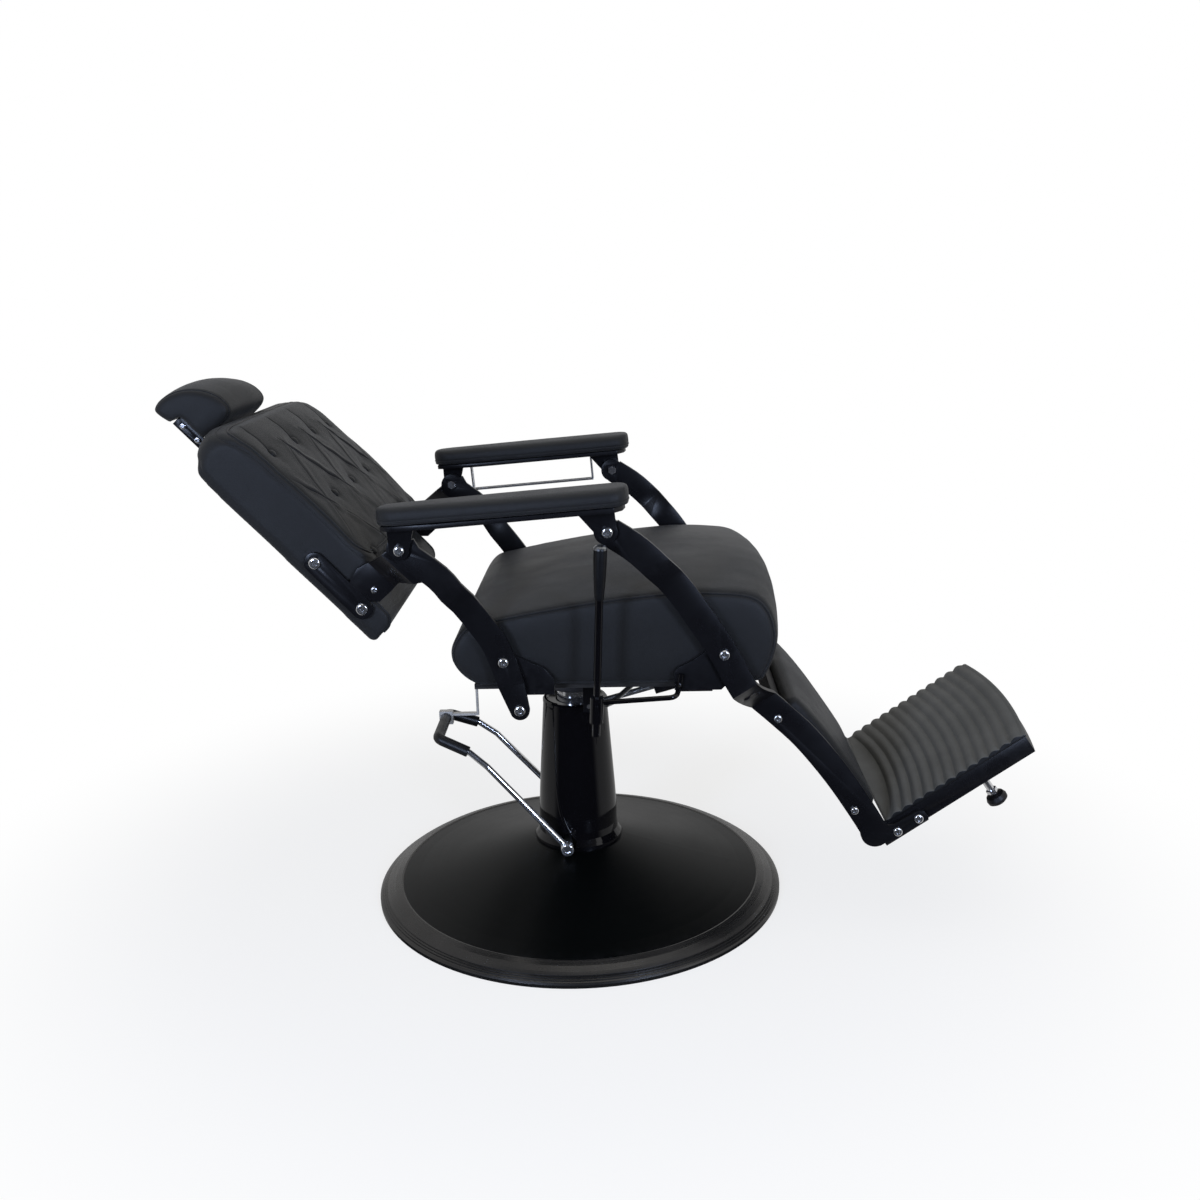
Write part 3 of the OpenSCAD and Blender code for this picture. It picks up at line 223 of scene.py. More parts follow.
def back_coords(co):
    """Out of the back, across, and up along the back."""
    d = co - BACK_AT
    return d @ BACK_OUT, co[:, 1], d @ BACK_UP


def back_point(out, across, up):
    return Vector(BACK_AT + BACK_OUT * out + BACK_UP * up) + Vector((0, across, 0))


# ---------- shader nodes ----------

GROUPS = {}
CREASE_BEND = 0.1


def feed(tree, entry, value):
    """Links a socket to a node's input, or sets the input's own value."""
    if isinstance(value, bpy.types.NodeSocket):
        tree.links.new(value, entry)
    else:
        entry.default_value = value


def add(tree, kind, **values):
    """A shader node, with its settings and its inputs by name."""
    n = tree.nodes.new("ShaderNode" + kind)
    for k, v in values.items():
        if hasattr(n, k):
            setattr(n, k, v)
        else:
            feed(tree, n.inputs[k.replace("_", " ")], v)
    return n


def maths(tree, op, a, b=None, clamp=False):
    n = add(tree, "Math", operation=op, use_clamp=clamp)
    feed(tree, n.inputs[0], a)
    if b is not None:
        feed(tree, n.inputs[1], b)
    return n.outputs[0]


def fade(tree, value, start, end, low=0.0, high=1.0):
    """A soft step, from low where the value is at the start to high at the end."""
    return add(tree, "MapRange", interpolation_type="SMOOTHSTEP", Value=value, From_Min=start,
               From_Max=end, To_Min=low, To_Max=high).outputs["Result"]


def mix_colour(tree, share, a, b):
    n = add(tree, "Mix", data_type="RGBA")
    for k, v in ((0, share), (6, a), (7, b)):
        feed(tree, n.inputs[k], v)
    return n.outputs[2]


def blend(tree, share, a, b):
    """One shader laid over another."""
    n = add(tree, "MixShader")
    for entry, v in zip(n.inputs, (share, a, b)):
        feed(tree, entry, v)
    return n.outputs[0]


def bare_tree(owner):
    """The node tree of a material or a world, emptied."""
    owner.use_nodes = True
    owner.node_tree.nodes.clear()
    return owner.node_tree


def principled(tree):
    return next(n for n in tree.nodes if n.type == "BSDF_PRINCIPLED")


def group(name, outputs, **numbers):
    """A node group that reads a vector and numbers, with its input and output sockets."""
    g = bpy.data.node_groups.new(name, "ShaderNodeTree")
    g.interface.new_socket("Vector", in_out="INPUT", socket_type="NodeSocketVector")
    for k, v in numbers.items():
        g.interface.new_socket(k, in_out="INPUT", socket_type="NodeSocketFloat").default_value = v
    for k in outputs:
        g.interface.new_socket(k, in_out="OUTPUT", socket_type="NodeSocketFloat")
    return g, g.nodes.new("NodeGroupInput").outputs, g.nodes.new("NodeGroupOutput").inputs


def place_group(tree, maker, **links):
    """The maker's node group, made once and shared by every tree."""
    if maker not in GROUPS:
        GROUPS[maker] = maker()
    n = tree.nodes.new("ShaderNodeGroup")
    n.node_tree = GROUPS[maker]
    for k, v in links.items():
        feed(tree, n.inputs[k], v)
    return n.outputs


def leather_grain():
    """Pebbled hide: rounded cells with fine creases between them."""
    g, i, o = group("Leather grain", ["Height", "Pores"], Cells=700.0)
    do, at = partial(maths, g), i["Vector"]
    warp = add(g, "TexNoise", Vector=at, Scale=220.0, Detail=2.0)
    mix = add(g, "Mix", data_type="VECTOR", factor_mode="UNIFORM")
    for k, v in ((0, 0.0015), (4, at), (5, warp.outputs["Color"])):
        feed(g, mix.inputs[k], v)
    cells = add(g, "TexVoronoi", feature="DISTANCE_TO_EDGE", Vector=mix.outputs[1],
                Scale=i["Cells"]).outputs["Distance"]
    fine = add(g, "TexNoise", Vector=at, Scale=2600.0, Detail=3.0)
    pebble = do("MULTIPLY", do("SMOOTH_MIN", cells, 0.22), 3.2)
    feed(g, o["Height"], do("ADD", pebble, do("MULTIPLY", fine.outputs["Fac"], 0.22)))
    feed(g, o["Pores"], do("SUBTRACT", 1.0, do("MULTIPLY", cells, 9.0, True), True))
    return g


def mottle():
    """Slow, uneven change over a surface, such as handling, polish or soiling."""
    g, i, o = group("Mottle", ["Value"], Scale=8.0, Low=0.0, High=1.0)
    n = add(g, "TexNoise", Vector=i["Vector"], Scale=i["Scale"], Detail=5.0, Roughness=0.62)
    feed(g, o["Value"], fade(g, n.outputs["Fac"], 0.32, 0.68, i["Low"], i["High"]))
    return g


def edge_wear():
    """Rubbed edges, broken up by noise."""
    g, i, o = group("Edge wear", ["Mask"], Pointiness=0.5, Amount=0.5)
    do = partial(maths, g)
    n = add(g, "TexNoise", Vector=i["Vector"], Scale=90.0, Detail=6.0, Roughness=0.7)
    edge = do("MULTIPLY", do("SUBTRACT", i["Pointiness"], 0.53), 14.0, True)
    broken = do("MULTIPLY", do("SUBTRACT", n.outputs["Fac"], 0.42), 5.0, True)
    feed(g, o["Mask"], do("MULTIPLY", do("MULTIPLY", edge, broken), i["Amount"], True))
    return g


def sprayed_skin():
    """Orange peel of a sprayed or powdered coat, with a few dust nibs."""
    g, i, o = group("Sprayed skin", ["Height"], Scale=900.0)
    do = partial(maths, g)
    n = add(g, "TexNoise", Vector=i["Vector"], Scale=i["Scale"], Detail=2.0, Roughness=0.4)
    nib = add(g, "TexVoronoi", Vector=i["Vector"], Scale=90.0)
    spot = do("SUBTRACT", 1.0, do("MULTIPLY", nib.outputs["Distance"], 16.0), True)
    feed(g, o["Height"], do("ADD", n.outputs["Fac"], do("MULTIPLY", spot, 0.5)))
    return g


def turning_marks():
    """Fine circles about the vertical centre line, as a lathe or a spinning tool leaves."""
    g, i, o = group("Turning marks", ["Height", "Streaks"], Pitch=900.0)
    do = partial(maths, g)
    at = add(g, "SeparateXYZ", Vector=i["Vector"]).outputs
    r = do("SQRT", do("ADD", do("MULTIPLY", at["X"], at["X"]), do("MULTIPLY", at["Y"], at["Y"])))
    n = add(g, "TexNoise", noise_dimensions="1D", W=r, Scale=i["Pitch"], Detail=1.0,
            Roughness=0.5)
    streak = add(g, "TexNoise", noise_dimensions="1D", Scale=160.0, Detail=3.0,
                 W=do("ADD", r, do("MULTIPLY", at["Z"], 1.7)))
    ramp = do("SUBTRACT", 1.0, do("FRACT", do("MULTIPLY", r, i["Pitch"])))
    feed(g, o["Height"], do("ADD", ramp, do("MULTIPLY", n.outputs["Fac"], 0.25)))
    feed(g, o["Streaks"], streak.outputs["Fac"])
    return g


def toned(colour, k):
    return (*[c * k for c in colour], 1)


def material(name, colour, roughness, metallic=0.0, specular=0.5, vary=0.06, shade=0.12,
             mottle_scale=9.0, grain=None, peel=None, turned=None, wear=0.0,
             wear_colour=(0.2, 0.2, 0.2), sheen=0.0):
    """A finish: base colour with slow variation, uneven roughness, and the relief of its surface.

    Grain, peel and turned are each a scale and a depth.
    """
    m = bpy.data.materials.new(name)
    m.diffuse_color = (*colour, 1)
    t = bare_tree(m)
    do = partial(maths, t)
    co = add(t, "TexCoord").outputs["Object"]
    rough = place_group(t, mottle, Vector=co, Scale=mottle_scale, Low=roughness - vary,
                        High=roughness + vary)["Value"]
    tone = place_group(t, mottle, Vector=co, Scale=mottle_scale * 0.43, Low=0.0,
                       High=1.0)["Value"]
    base = mix_colour(t, tone, toned(colour, 1 - shade), toned(colour, 1 + shade))
    height, depth = None, 0.0
    if grain:
        g = place_group(t, leather_grain, Vector=co, Cells=grain[0])
        height, depth = g["Height"], grain[1]
        base = mix_colour(t, do("MULTIPLY", g["Pores"], 0.6), base, toned(colour, 0.55))
        rough = do("ADD", rough, do("MULTIPLY", g["Pores"], 0.12))
    if peel:
        height = place_group(t, sprayed_skin, Vector=co, Scale=peel[0])["Height"]
        depth = peel[1]
    if turned:
        g = place_group(t, turning_marks, Vector=co, Pitch=turned[0])
        height, depth = g["Height"], turned[1]
        rough = do("ADD", rough, do("MULTIPLY", do("SUBTRACT", g["Streaks"], 0.5), 0.25))
    if wear:
        point = add(t, "NewGeometry").outputs["Pointiness"]
        rub = place_group(t, edge_wear, Vector=co, Pointiness=point, Amount=wear)["Mask"]
        base = mix_colour(t, rub, base, (*wear_colour, 1))
    b = add(t, "BsdfPrincipled", Base_Color=base, Roughness=rough, Metallic=metallic,
            Specular_IOR_Level=specular, Sheen_Weight=sheen)
    if height is not None:
        bump = add(t, "Bump", Strength=1.0, Distance=depth, Height=height)
        feed(t, b.inputs["Normal"], bump.outputs[0])
    add(t, "OutputMaterial", Surface=b.outputs[0])
    return m


def creases():
    """Lines between the tufts of the back, drawn from its lean, its pitch and its rows."""
    u = bpy.context.scene.chair_upholstery
    g, i, o = group("Tuft creases", ["Line"], Width=0.0011)
    do = partial(maths, g)
    from_foot = add(g, "VectorMath", operation="SUBTRACT")
    feed(g, from_foot.inputs[0], i["Vector"])
    feed(g, from_foot.inputs[1], tuple(BACK_AT))

    def along(direction):
        n = add(g, "VectorMath", operation="DOT_PRODUCT")
        feed(g, n.inputs[0], from_foot.outputs[0])
        feed(g, n.inputs[1], tuple(direction))
        return n.outputs["Value"]

    def product(*values):
        return reduce(partial(do, "MULTIPLY"), values)

    def thread(gap):
        return do("SUBTRACT", 1.0, do("MINIMUM", do("DIVIDE", gap, i["Width"]), 1.0), True)

    up, across, out = along(BACK_UP), along((0, 1, 0)), along(BACK_OUT)
    row = do("DIVIDE", do("SUBTRACT", up, u.tuft_mid), u.tuft_row)
    bend = do("MULTIPLY", do("SINE", do("MULTIPLY", row, math.pi)), CREASE_BEND)
    column = do("ADD", do("DIVIDE", across, u.tuft_pitch / 2), bend)
    pitch = min(u.tuft_row, u.tuft_pitch / 2) * 0.7
    near = []
    for op in ("ADD", "SUBTRACT"):
        fold = do("PINGPONG", do(op, row, column), 1.0)
        near.append(thread(do("MULTIPLY", do("SUBTRACT", 1.0, fold), pitch)))
    line = do("MAXIMUM", near[0], do("MULTIPLY", near[1], 0.25))
    edge = fade(g, do("ABSOLUTE", across), 0.222, 0.192)
    inside = product(fade(g, up, 0.085, 0.105), fade(g, up, 0.335, 0.312), edge)
    # pleats run straight from the outer rows to the seam
    lane = do("PINGPONG", do("SUBTRACT", across, u.tuft_pitch / 2), u.tuft_pitch / 2)
    last = u.tuft_mid + u.tuft_row
    top = product(fade(g, up, last, last + 0.01), fade(g, up, 0.376, 0.35), edge)
    both = do("MAXIMUM", product(line, inside), product(thread(lane), top))
    feed(g, o["Line"], product(both, fade(g, out, 0.062, 0.08)))
    return g


def buttoned_leather(hide):
    """The hide with the sharp creases of the tufted face pressed into it, and painted shade that
    darkens it along the creases.
    """
    m = hide.copy()
    m.name = "Black upholstery leather, tufted"
    t = m.node_tree
    b = principled(t)
    base, normal = [b.inputs[k].links[0].from_socket for k in ("Base Color", "Normal")]
    co = add(t, "TexCoord").outputs["Object"]
    line = place_group(t, creases, Vector=co, Width=0.0013)["Line"]
    # painted shade: the base colour is darkened towards near-black along the tuft creases
    dark = mix_colour(t, maths(t, "MULTIPLY", line, 0.85), base, (0.002, 0.002, 0.002, 1))
    feed(t, b.inputs["Base Color"], dark)
    press = add(t, "Bump", invert=True, Distance=0.0012, Normal=normal, Height=line)
    feed(t, b.inputs["Normal"], press.outputs[0])
    return m


def plywood():
    """Near-black ply with long grain; the near-black is painted shade, standing in for the shadowed
    strip under the seat.
    """
    # painted shade: the ply gets a near-black colour where the underside of the seat lies in shade
    m = material("Plywood near-black as painted shade", (0.012, 0.011, 0.01), 0.6, specular=0.3)
    t = m.node_tree
    stretch = add(t, "Mapping", Vector=add(t, "TexCoord").outputs["Object"],
                  Scale=(14, 160, 420))
    n = add(t, "TexNoise", Vector=stretch.outputs[0], Scale=1.0, Detail=6.0, Distortion=0.6)
    r = add(t, "ValToRGB")
    feed(t, r.inputs[0], n.outputs["Fac"])
    for stop, at, tone in zip(r.color_ramp.elements, (0.35, 0.65),
                              ((0.008, 0.007, 0.0065, 1), (0.02, 0.018, 0.016, 1))):
        stop.position, stop.color = at, tone
    feed(t, principled(t).inputs["Base Color"], r.outputs[0])
    return m


# ---------- properties ----------

def tint(name, description, default):
    return bpy.props.FloatVectorProperty(name=name, description=description, subtype="COLOR",
                                         size=3, min=0, max=1, default=default)


def number(name, description, default, low, high, **more):
    return bpy.props.FloatProperty(name=name, description=description, default=default,
                                   min=low, max=high, **more)


length = partial(number, unit="LENGTH")
watts = partial(number, low=0, high=200, unit="POWER")


class UpholsteryProps(bpy.types.PropertyGroup):
    leather: tint("Leather", "Colour of the hide", (0.0145, 0.0148, 0.0153))
    roughness: number("Roughness", "How matt the hide is", 0.43, 0.1, 1, subtype="FACTOR")
    grain: length("Grain", "Width of one pebble of the grain", 0.0014, 0.0005, 0.005)
    piping: length("Piping", "Radius of the piped seams", 0.0021, 0.001, 0.006)
    stitch: length("Stitch", "Pitch of the top stitching", 0.0052, 0.003, 0.012)
    button: length("Button", "Radius of a tufting button", 0.0072, 0.005, 0.02)
    tuft_pitch: length("Tuft pitch", "Spacing of the tufts across the back", 0.12, 0.1, 0.13)
    tuft_row: length("Tuft row", "Spacing of the tuft rows", 0.106, 0.09, 0.115)
    tuft_mid: length("Middle row", "Height of the middle tuft row up the back", 0.20506, 0.19,
                     0.22)


class FinishProps(bpy.types.PropertyGroup):
    steel_paint: tint("Arms and links", "Powder coat on the steelwork",
                      (0.0045, 0.0044, 0.0054))
    enamel: tint("Column", "Gloss enamel of the column", (0.0028, 0.0026, 0.0032))
    dome: tint("Dome", "Satin paint of the dome", (0.0014, 0.0018, 0.0018))
    ring: tint("Base ring", "Dark turned finish of the stepped ring", (0.06, 0.058, 0.056))
    tread: tint("Tread", "Rubber of the footplate", (0.078, 0.078, 0.073))
    chrome: tint("Chrome", "Plating of the bright parts", (0.9, 0.9, 0.91))
    edge: length("Edge radius", "Softened edge of the flat steelwork", 0.0007, 0.0002, 0.003)


class StageProps(bpy.types.PropertyGroup):
    floor: tint("Floor", "Colour of the plain floor", (0.9, 0.9, 0.9))
    world: number("Room", "Strength of the room's even light", 0.36, 0, 2)
    key: watts("Keys", "Each of the twin softboxes on the sitter's right", 58.0)
    fill: watts("Fill", "Softbox ahead of the sitter", 3.5)
    top: watts("Top", "Softbox overhead and behind", 8.0)


# ---------- finishes ----------

FINISHES = {}
SLOTS = {
    "ring_grey": "base_ring",
    "dome_black": "base_dome",
    "iron": "base_weight pump_body swivel_head",
    "steel": "pump_bolts thrust_ring pedal_shaft pump_plunger release_rod lever_cap",
    "bronze": "ram_gland",
    "gloss_black": "column_shroud shroud_collar lever_guard_rod lever_rod lever_sleeve",
    "chrome": "ram pedal_lever pedal_bolts seat_pivot_bolts cylinder_rod back_screws "
              "arm_bolts_rear headrest_screws leg_bolts foot_studs arm_bolts_front towel_rail",
    "rubber": "pedal_grip stud_feet",
    "zinc_grey": "pedal_hook",
    "black_steel": "seat_frame seat_brackets_front seat_brackets_rear cylinder_barrel "
                   "rear_link_right rear_link_left back_straps headrest_sockets "
                   "headrest_prongs front_link_right front_link_left leg_cross_tube "
                   "footplate_tray armrest_rail_right armrest_rail_left",
    "plywood": "seat_board calf_board",
    "leather": "seat_cushion back_shell back_cushion back_buttons headrest_cushion "
               "calf_cushion armrest_pad_right armrest_pad_left",
    "tread": "tread_pad",
    "grip_plastic": "lever_grip",
}
NODE_SLOTS = {node: slot for slot, nodes in SLOTS.items() for node in nodes.split()}


def make_finishes():
    f, u = bpy.context.scene.chair_finish, bpy.context.scene.chair_upholstery
    FINISHES.update(
        leather=material("Black upholstery leather", tuple(u.leather), u.roughness,
                         specular=0.18, vary=0.05, shade=0.1, mottle_scale=7.0,
                         grain=(1.0 / u.grain, 0.00016), wear=0.25,
                         wear_colour=(0.03, 0.03, 0.032), sheen=0.04),
        black_steel=material("Black powder coat", tuple(f.steel_paint), 0.3, specular=0.24,
                             vary=0.04, shade=0.1, peel=(1400.0, 0.000004), wear=0.15,
                             wear_colour=(0.06, 0.06, 0.065), mottle_scale=14.0),
        gloss_black=material("Gloss black enamel", tuple(f.enamel), 0.07, specular=0.34,
                             vary=0.02, shade=0.05, peel=(160.0, 0.00002), mottle_scale=5.0),
        dome_black=material("Satin black paint", tuple(f.dome), 0.33, specular=0.12, vary=0.03,
                            shade=0.15, peel=(1100.0, 0.00005), mottle_scale=4.0, wear=0.2,
                            wear_colour=(0.03, 0.03, 0.03)),
        ring_grey=material("Dark turned ring", tuple(f.ring), 0.26, metallic=0.85, vary=0.04,
                           shade=0.15, turned=(330.0, 0.0005), wear=0.15,
                           wear_colour=(0.1, 0.1, 0.1)),
        chrome=material("Polished chrome", tuple(f.chrome), 0.15, metallic=0.96, vary=0.03,
                        shade=0.03, mottle_scale=40.0),
        steel=material("Machined steel", (0.36, 0.37, 0.38), 0.32, metallic=1.0, vary=0.08,
                       mottle_scale=50.0, peel=(1800.0, 0.00003)),
        iron=material("Cast iron, painted dark", (0.02, 0.02, 0.022), 0.55, vary=0.1,
                      shade=0.3, mottle_scale=30.0, peel=(420.0, 0.00035)),
        bronze=material("Bearing bronze", (0.42, 0.27, 0.12), 0.35, metallic=1.0, vary=0.08,
                        shade=0.15, turned=(1400.0, 0.00004)),
        rubber=material("Black rubber", (0.005, 0.005, 0.0055), 0.42, specular=0.4,
                        shade=0.15, peel=(900.0, 0.00006), mottle_scale=25.0),
        tread=material("Tread rubber", tuple(f.tread), 0.58, specular=0.4, shade=0.1,
                       mottle_scale=12.0, peel=(1300.0, 0.00008), wear=0.3,
                       wear_colour=(0.08, 0.08, 0.075)),
        grip_plastic=material("Black moulded plastic", (0.004, 0.004, 0.0045), 0.36,
                              specular=0.28, vary=0.05, shade=0.1, mottle_scale=30.0,
                              peel=(1500.0, 0.00003)),
        zinc_grey=material("Zinc-plated grey", (0.52, 0.5, 0.46), 0.42, metallic=0.35,
                           mottle_scale=35.0, peel=(900.0, 0.00004)),
        plywood=plywood(),
    )
    FINISHES["tufted"] = buttoned_leather(FINISHES["leather"])


class CHAIR_OT_finishes(bpy.types.Operator):
    """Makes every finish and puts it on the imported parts"""
    bl_idname = "chair.finishes"
    bl_label = "Finishes"

    def execute(self, context):
        make_finishes()
        for node, o in NODES.items():
            paint(o, FINISHES[NODE_SLOTS[node]])
        return {"FINISHED"}


# ---------- stage ----------

class CHAIR_OT_camera(bpy.types.Operator):
    """Sets the camera beside the chair, on the sitter's right"""
    bl_idname = "chair.camera"
    bl_label = "Camera"

    def execute(self, context):
        yaw, pitch, roll = (math.radians(a) for a in (1.574, 14.998, -1.362))
        right = Vector((math.cos(yaw), math.sin(yaw), 0))
        ahead = Vector((-math.sin(yaw), math.cos(yaw), 0))
        look = ahead * math.cos(pitch) - Vector((0, 0, math.sin(pitch)))
        up = ahead * math.sin(pitch) + Vector((0, 0, math.cos(pitch)))
        x = right * math.cos(roll) + up * math.sin(roll)
        y = up * math.cos(roll) - right * math.sin(roll)
        data = bpy.data.cameras.new("Camera")
        data.sensor_width = 36.0
        data.lens = 37.39
        data.clip_end = 60
        o = new_object("Camera", data)
        m = Matrix((x, y, -look)).transposed().to_4x4()
        m.translation = (0.10479, -2.0668, 1.08027)
        o.matrix_world = m
        context.scene.camera = o
        return {"FINISHED"}


def softbox(name, at, size, power, colour=(1, 1, 1), target=(0.05, 0, 0.5)):
    data = bpy.data.lights.new(name, "AREA")
    data.shape = "RECTANGLE"
    data.size, data.size_y = size
    data.energy = power
    data.color = colour
    o = new_object(name, data)
    o.location = at
    o.rotation_euler = (Vector(target) - Vector(at)).to_track_quat("-Z", "Y").to_euler()


def floor_paint(colour):
    """The floor's own colour in the light, white to the eye far out, and in gloss a glow that is a
    painted reflection.
    """
    m = bpy.data.materials.new("Plain floor")
    t = bare_tree(m)
    do = partial(maths, t)
    co = add(t, "TexCoord").outputs["Object"]
    far = add(t, "VectorMath", operation="LENGTH", Vector=co).outputs["Value"]
    ray = add(t, "LightPath").outputs
    plain = add(t, "BsdfPrincipled", Base_Color=(*colour, 1), Roughness=0.8,
                Specular_IOR_Level=0.1)
    white = add(t, "Emission", Color=(1, 1, 1, 1))
    # In glossy rays the floor glows as a painted reflection: bright to either side and dark towards
    # the chair's right side
    y = add(t, "SeparateXYZ", Vector=co).outputs["Y"]
    lateral = do("DIVIDE", y, far)
    glossy_floor_glow = add(t, "Emission", Strength=fade(t, lateral, start=-0.62, end=-0.3, low=0.015,
                                             high=0.4))
    lit = blend(t, ray["Is Glossy Ray"], plain.outputs[0], glossy_floor_glow.outputs[0])
    seen = do("MULTIPLY", ray["Is Camera Ray"], fade(t, far, start=0.55, end=1.3, low=0.75))
    add(t, "OutputMaterial", Surface=blend(t, seen, lit, white.outputs[0]))
    return m


def studio(strength):
    """The room: even light, white to the eye, with one dark side in reflections."""
    w = bpy.data.worlds.new("Studio")
    t = bare_tree(w)
    do = partial(maths, t)
    room = add(t, "Background", Color=(1, 0.99, 0.95, 1), Strength=strength)
    # The open side of the room, beyond the chair's right side, is unlit
    direction = add(t, "TexCoord").outputs["Generated"]
    y = add(t, "SeparateXYZ", Vector=direction).outputs["Y"]
    side = fade(t, y, start=-0.9, end=0.1, low=0.02, high=0.6)
    ray = add(t, "LightPath").outputs
    eye = ray["Is Camera Ray"]
    bright = do("ADD", eye, do("MULTIPLY", do("SUBTRACT", 1.0, eye), side))
    seen = add(t, "Background", Color=(1, 1, 1, 1), Strength=bright)
    direct = do("ADD", eye, do("ADD", ray["Is Glossy Ray"], ray["Is Transmission Ray"]), True)
    add(t, "OutputWorld", Surface=blend(t, direct, room.outputs[0], seen.outputs[0]))
    return w


class CHAIR_OT_stage(bpy.types.Operator):
    """Lays the plain floor, lights the room and sets the softboxes"""
    bl_idname = "chair.stage"
    bl_label = "Stage"

    def execute(self, context):
        p = context.scene.chair_stage
        clear()
        bpy.ops.mesh.primitive_circle_add(vertices=96, radius=9.0, fill_type="NGON",
                                          location=(0, 0, -0.0005))
        floor = context.object
        with editing(floor):
            for thickness in (4.0, 2.5, 1.2):
                bpy.ops.mesh.inset(thickness=thickness)
        seat_in_place(floor, "Floor")
        floor.data.materials.append(floor_paint(p.floor))
        context.scene.world = studio(p.world)
        for side in (-1, 1):
            softbox("Key softbox", (0.1 + side * 1.75, -3.0, 1.35), (0.6, 1.2), p.key,
                    (0.59, 0.71, 1.0))
        softbox("Fill softbox", (2.4, -1.3, 1.5), (0.9, 1.6), p.fill)
        softbox("Top softbox", (0.1, -0.05, 2.8), (2.0, 2.4), p.top, (1.0, 0.98, 0.92))
        context.scene.view_settings.view_transform = "Standard"
        return {"FINISHED"}


# ---------- padded pieces ----------

def padded_start(node, name, *more, voxel, rounds):
    """The node's form as an even skin, with its hard corners eased."""
    o = copy_node(node, name, *more)
    apply(o, "REMESH", mode="VOXEL", voxel_size=voxel)
    with editing(o):
        bpy.ops.mesh.vertices_smooth(factor=0.5, repeat=rounds)
    return o


def ease(o, chosen, rounds):
    """Smooths the chosen points alone."""
    with editing(o, "DESELECT"):
        bm = bmesh.from_edit_mesh(o.data)
        for v, wanted in zip(bm.verts, chosen):
            v.select = bool(wanted)
        bmesh.update_edit_mesh(o.data)
        bpy.ops.mesh.vertices_smooth(factor=0.5, repeat=rounds)


def inflate(o, held, pressure, cap, frames=20, stiff=12.0, bend=0.6):
    """Fills the skin: it swells under pressure between the places that are held."""
    start = points(o)
    vg = o.vertex_groups.new(name="held")
    for level in (1.0, 0.6, 0.3):
        ids = np.nonzero((held <= level) & (held > level - 0.35))[0]
        if len(ids):
            vg.add(ids.tolist(), level, "REPLACE")
    pick(o)
    m = o.modifiers.new("Cloth", "CLOTH")
    s = m.settings
    s.quality = 5
    s.mass = 0.25
    s.tension_stiffness = s.compression_stiffness = stiff
    s.bending_stiffness = bend
    s.use_pressure = True
    s.uniform_pressure_force = pressure
    s.vertex_group_mass = "held"
    s.effector_weights.gravity = 0
    m.collision_settings.use_collision = False
    m.point_cache.frame_start, m.point_cache.frame_end = 1, frames
    scene = bpy.context.scene
    for f in range(1, frames + 1):
        scene.frame_set(f)
    swollen = points(o.evaluated_get(bpy.context.evaluated_depsgraph_get()))
    o.modifiers.remove(m)
    scene.frame_set(1)
    move = swollen - start
    far = np.linalg.norm(move, axis=1)
    move *= (np.minimum(far, cap) / np.maximum(far, 1e-9))[:, None]
    set_points(o, start + move)


def refine(o):
    apply(o, "SUBSURF", levels=1, render_levels=1)
    smooth(o)


def finer(o, choose):
    """Divides the chosen faces once more, for relief that the rest of the skin hasn't."""
    with editing(o, None):
        bm = bmesh.from_edit_mesh(o.data)
        co = np.array([f.calc_center_median() for f in bm.faces])
        for f, wanted in zip(bm.faces, choose(co)):
            f.select_set(bool(wanted))
        bmesh.update_edit_mesh(o.data)
        bpy.ops.mesh.subdivide(number_cuts=1, smoothness=1.0)
    smooth(o)


def slice_loop(o, at, direction):
    """The longest closed path where a plane cuts the piece."""
    bm = bmesh.new()
    bm.from_mesh(o.data)
    cut = bmesh.ops.bisect_plane(bm, geom=bm.verts[:] + bm.edges[:] + bm.faces[:],
                                 plane_co=at, plane_no=direction)["geom_cut"]
    ends = {}
    for e in cut:
        if isinstance(e, bmesh.types.BMEdge):
            for v in e.verts:
                ends.setdefault(v, []).append(e.other_vert(v))
    loops, seen = [], set()
    for v in ends:
        if v in seen:
            continue
        path, here = [v], v
        seen.add(v)
        while True:
            ahead = [w for w in ends[here] if w not in seen]
            if not ahead:
                break
            here = ahead[0]
            seen.add(here)
            path.append(here)
        loops.append([p.co.copy() for p in path])
    bm.free()
    return max(loops, key=len)


def even(path, pitch, closed):
    """The path again, at an even pitch and eased."""
    pts = [Vector(p) for p in path] + ([Vector(path[0])] if closed else [])
    run = [0.0]
    for a, b in zip(pts, pts[1:]):
        run.append(run[-1] + (b - a).length)
    n = max(4, int(run[-1] / pitch))
    out, k = [], 0
    for i in range(n if closed else n + 1):
        d = run[-1] * i / n
        while k < len(run) - 2 and run[k + 1] < d:
            k += 1
        f = (d - run[k]) / max(run[k + 1] - run[k], 1e-9)
        out.append(pts[k].lerp(pts[k + 1], f))
    for _ in range(3):
        eased = list(out)
        for i in range(len(out)):
            if closed or 0 < i < len(out) - 1:
                a, b = out[i - 1], out[(i + 1) % len(out)]
                eased[i] = (a + out[i] * 2 + b) / 4
        out = eased
    return out


def skin_under(o, path, lift=0.0):
    """The places and normals of the piece's skin nearest to a path."""
    tree = BVHTree.FromObject(o, bpy.context.evaluated_depsgraph_get())
    laid = []
    for p in path:
        at, no, _, _ = tree.find_nearest(p)
        laid.append((at + no * lift, no))
    return laid


def lay_on(o, path, lift=0.0):
    """The path laid on the piece's skin."""
    return [at for at, _ in skin_under(o, path, lift)]


def sew_in(o, path, width, depth):
    """Draws the skin in along a path, as a sewn seam does, and returns the path."""
    tree = KDTree(len(path))
    for i, p in enumerate(path):
        tree.insert(p, i)
    tree.balance()
    co, no = points(o), normals(o)
    reach = width * 2.6
    lo = np.min(np.array(path), axis=0) - reach
    hi = np.max(np.array(path), axis=0) + reach
    near = np.nonzero(np.all((co > lo) & (co < hi), axis=1))[0]
    for i in near:
        d = tree.find(co[i])[2]
        if d < reach:
            co[i] -= no[i] * depth * math.exp(-(d / width) ** 2)
    set_points(o, co)
    return path


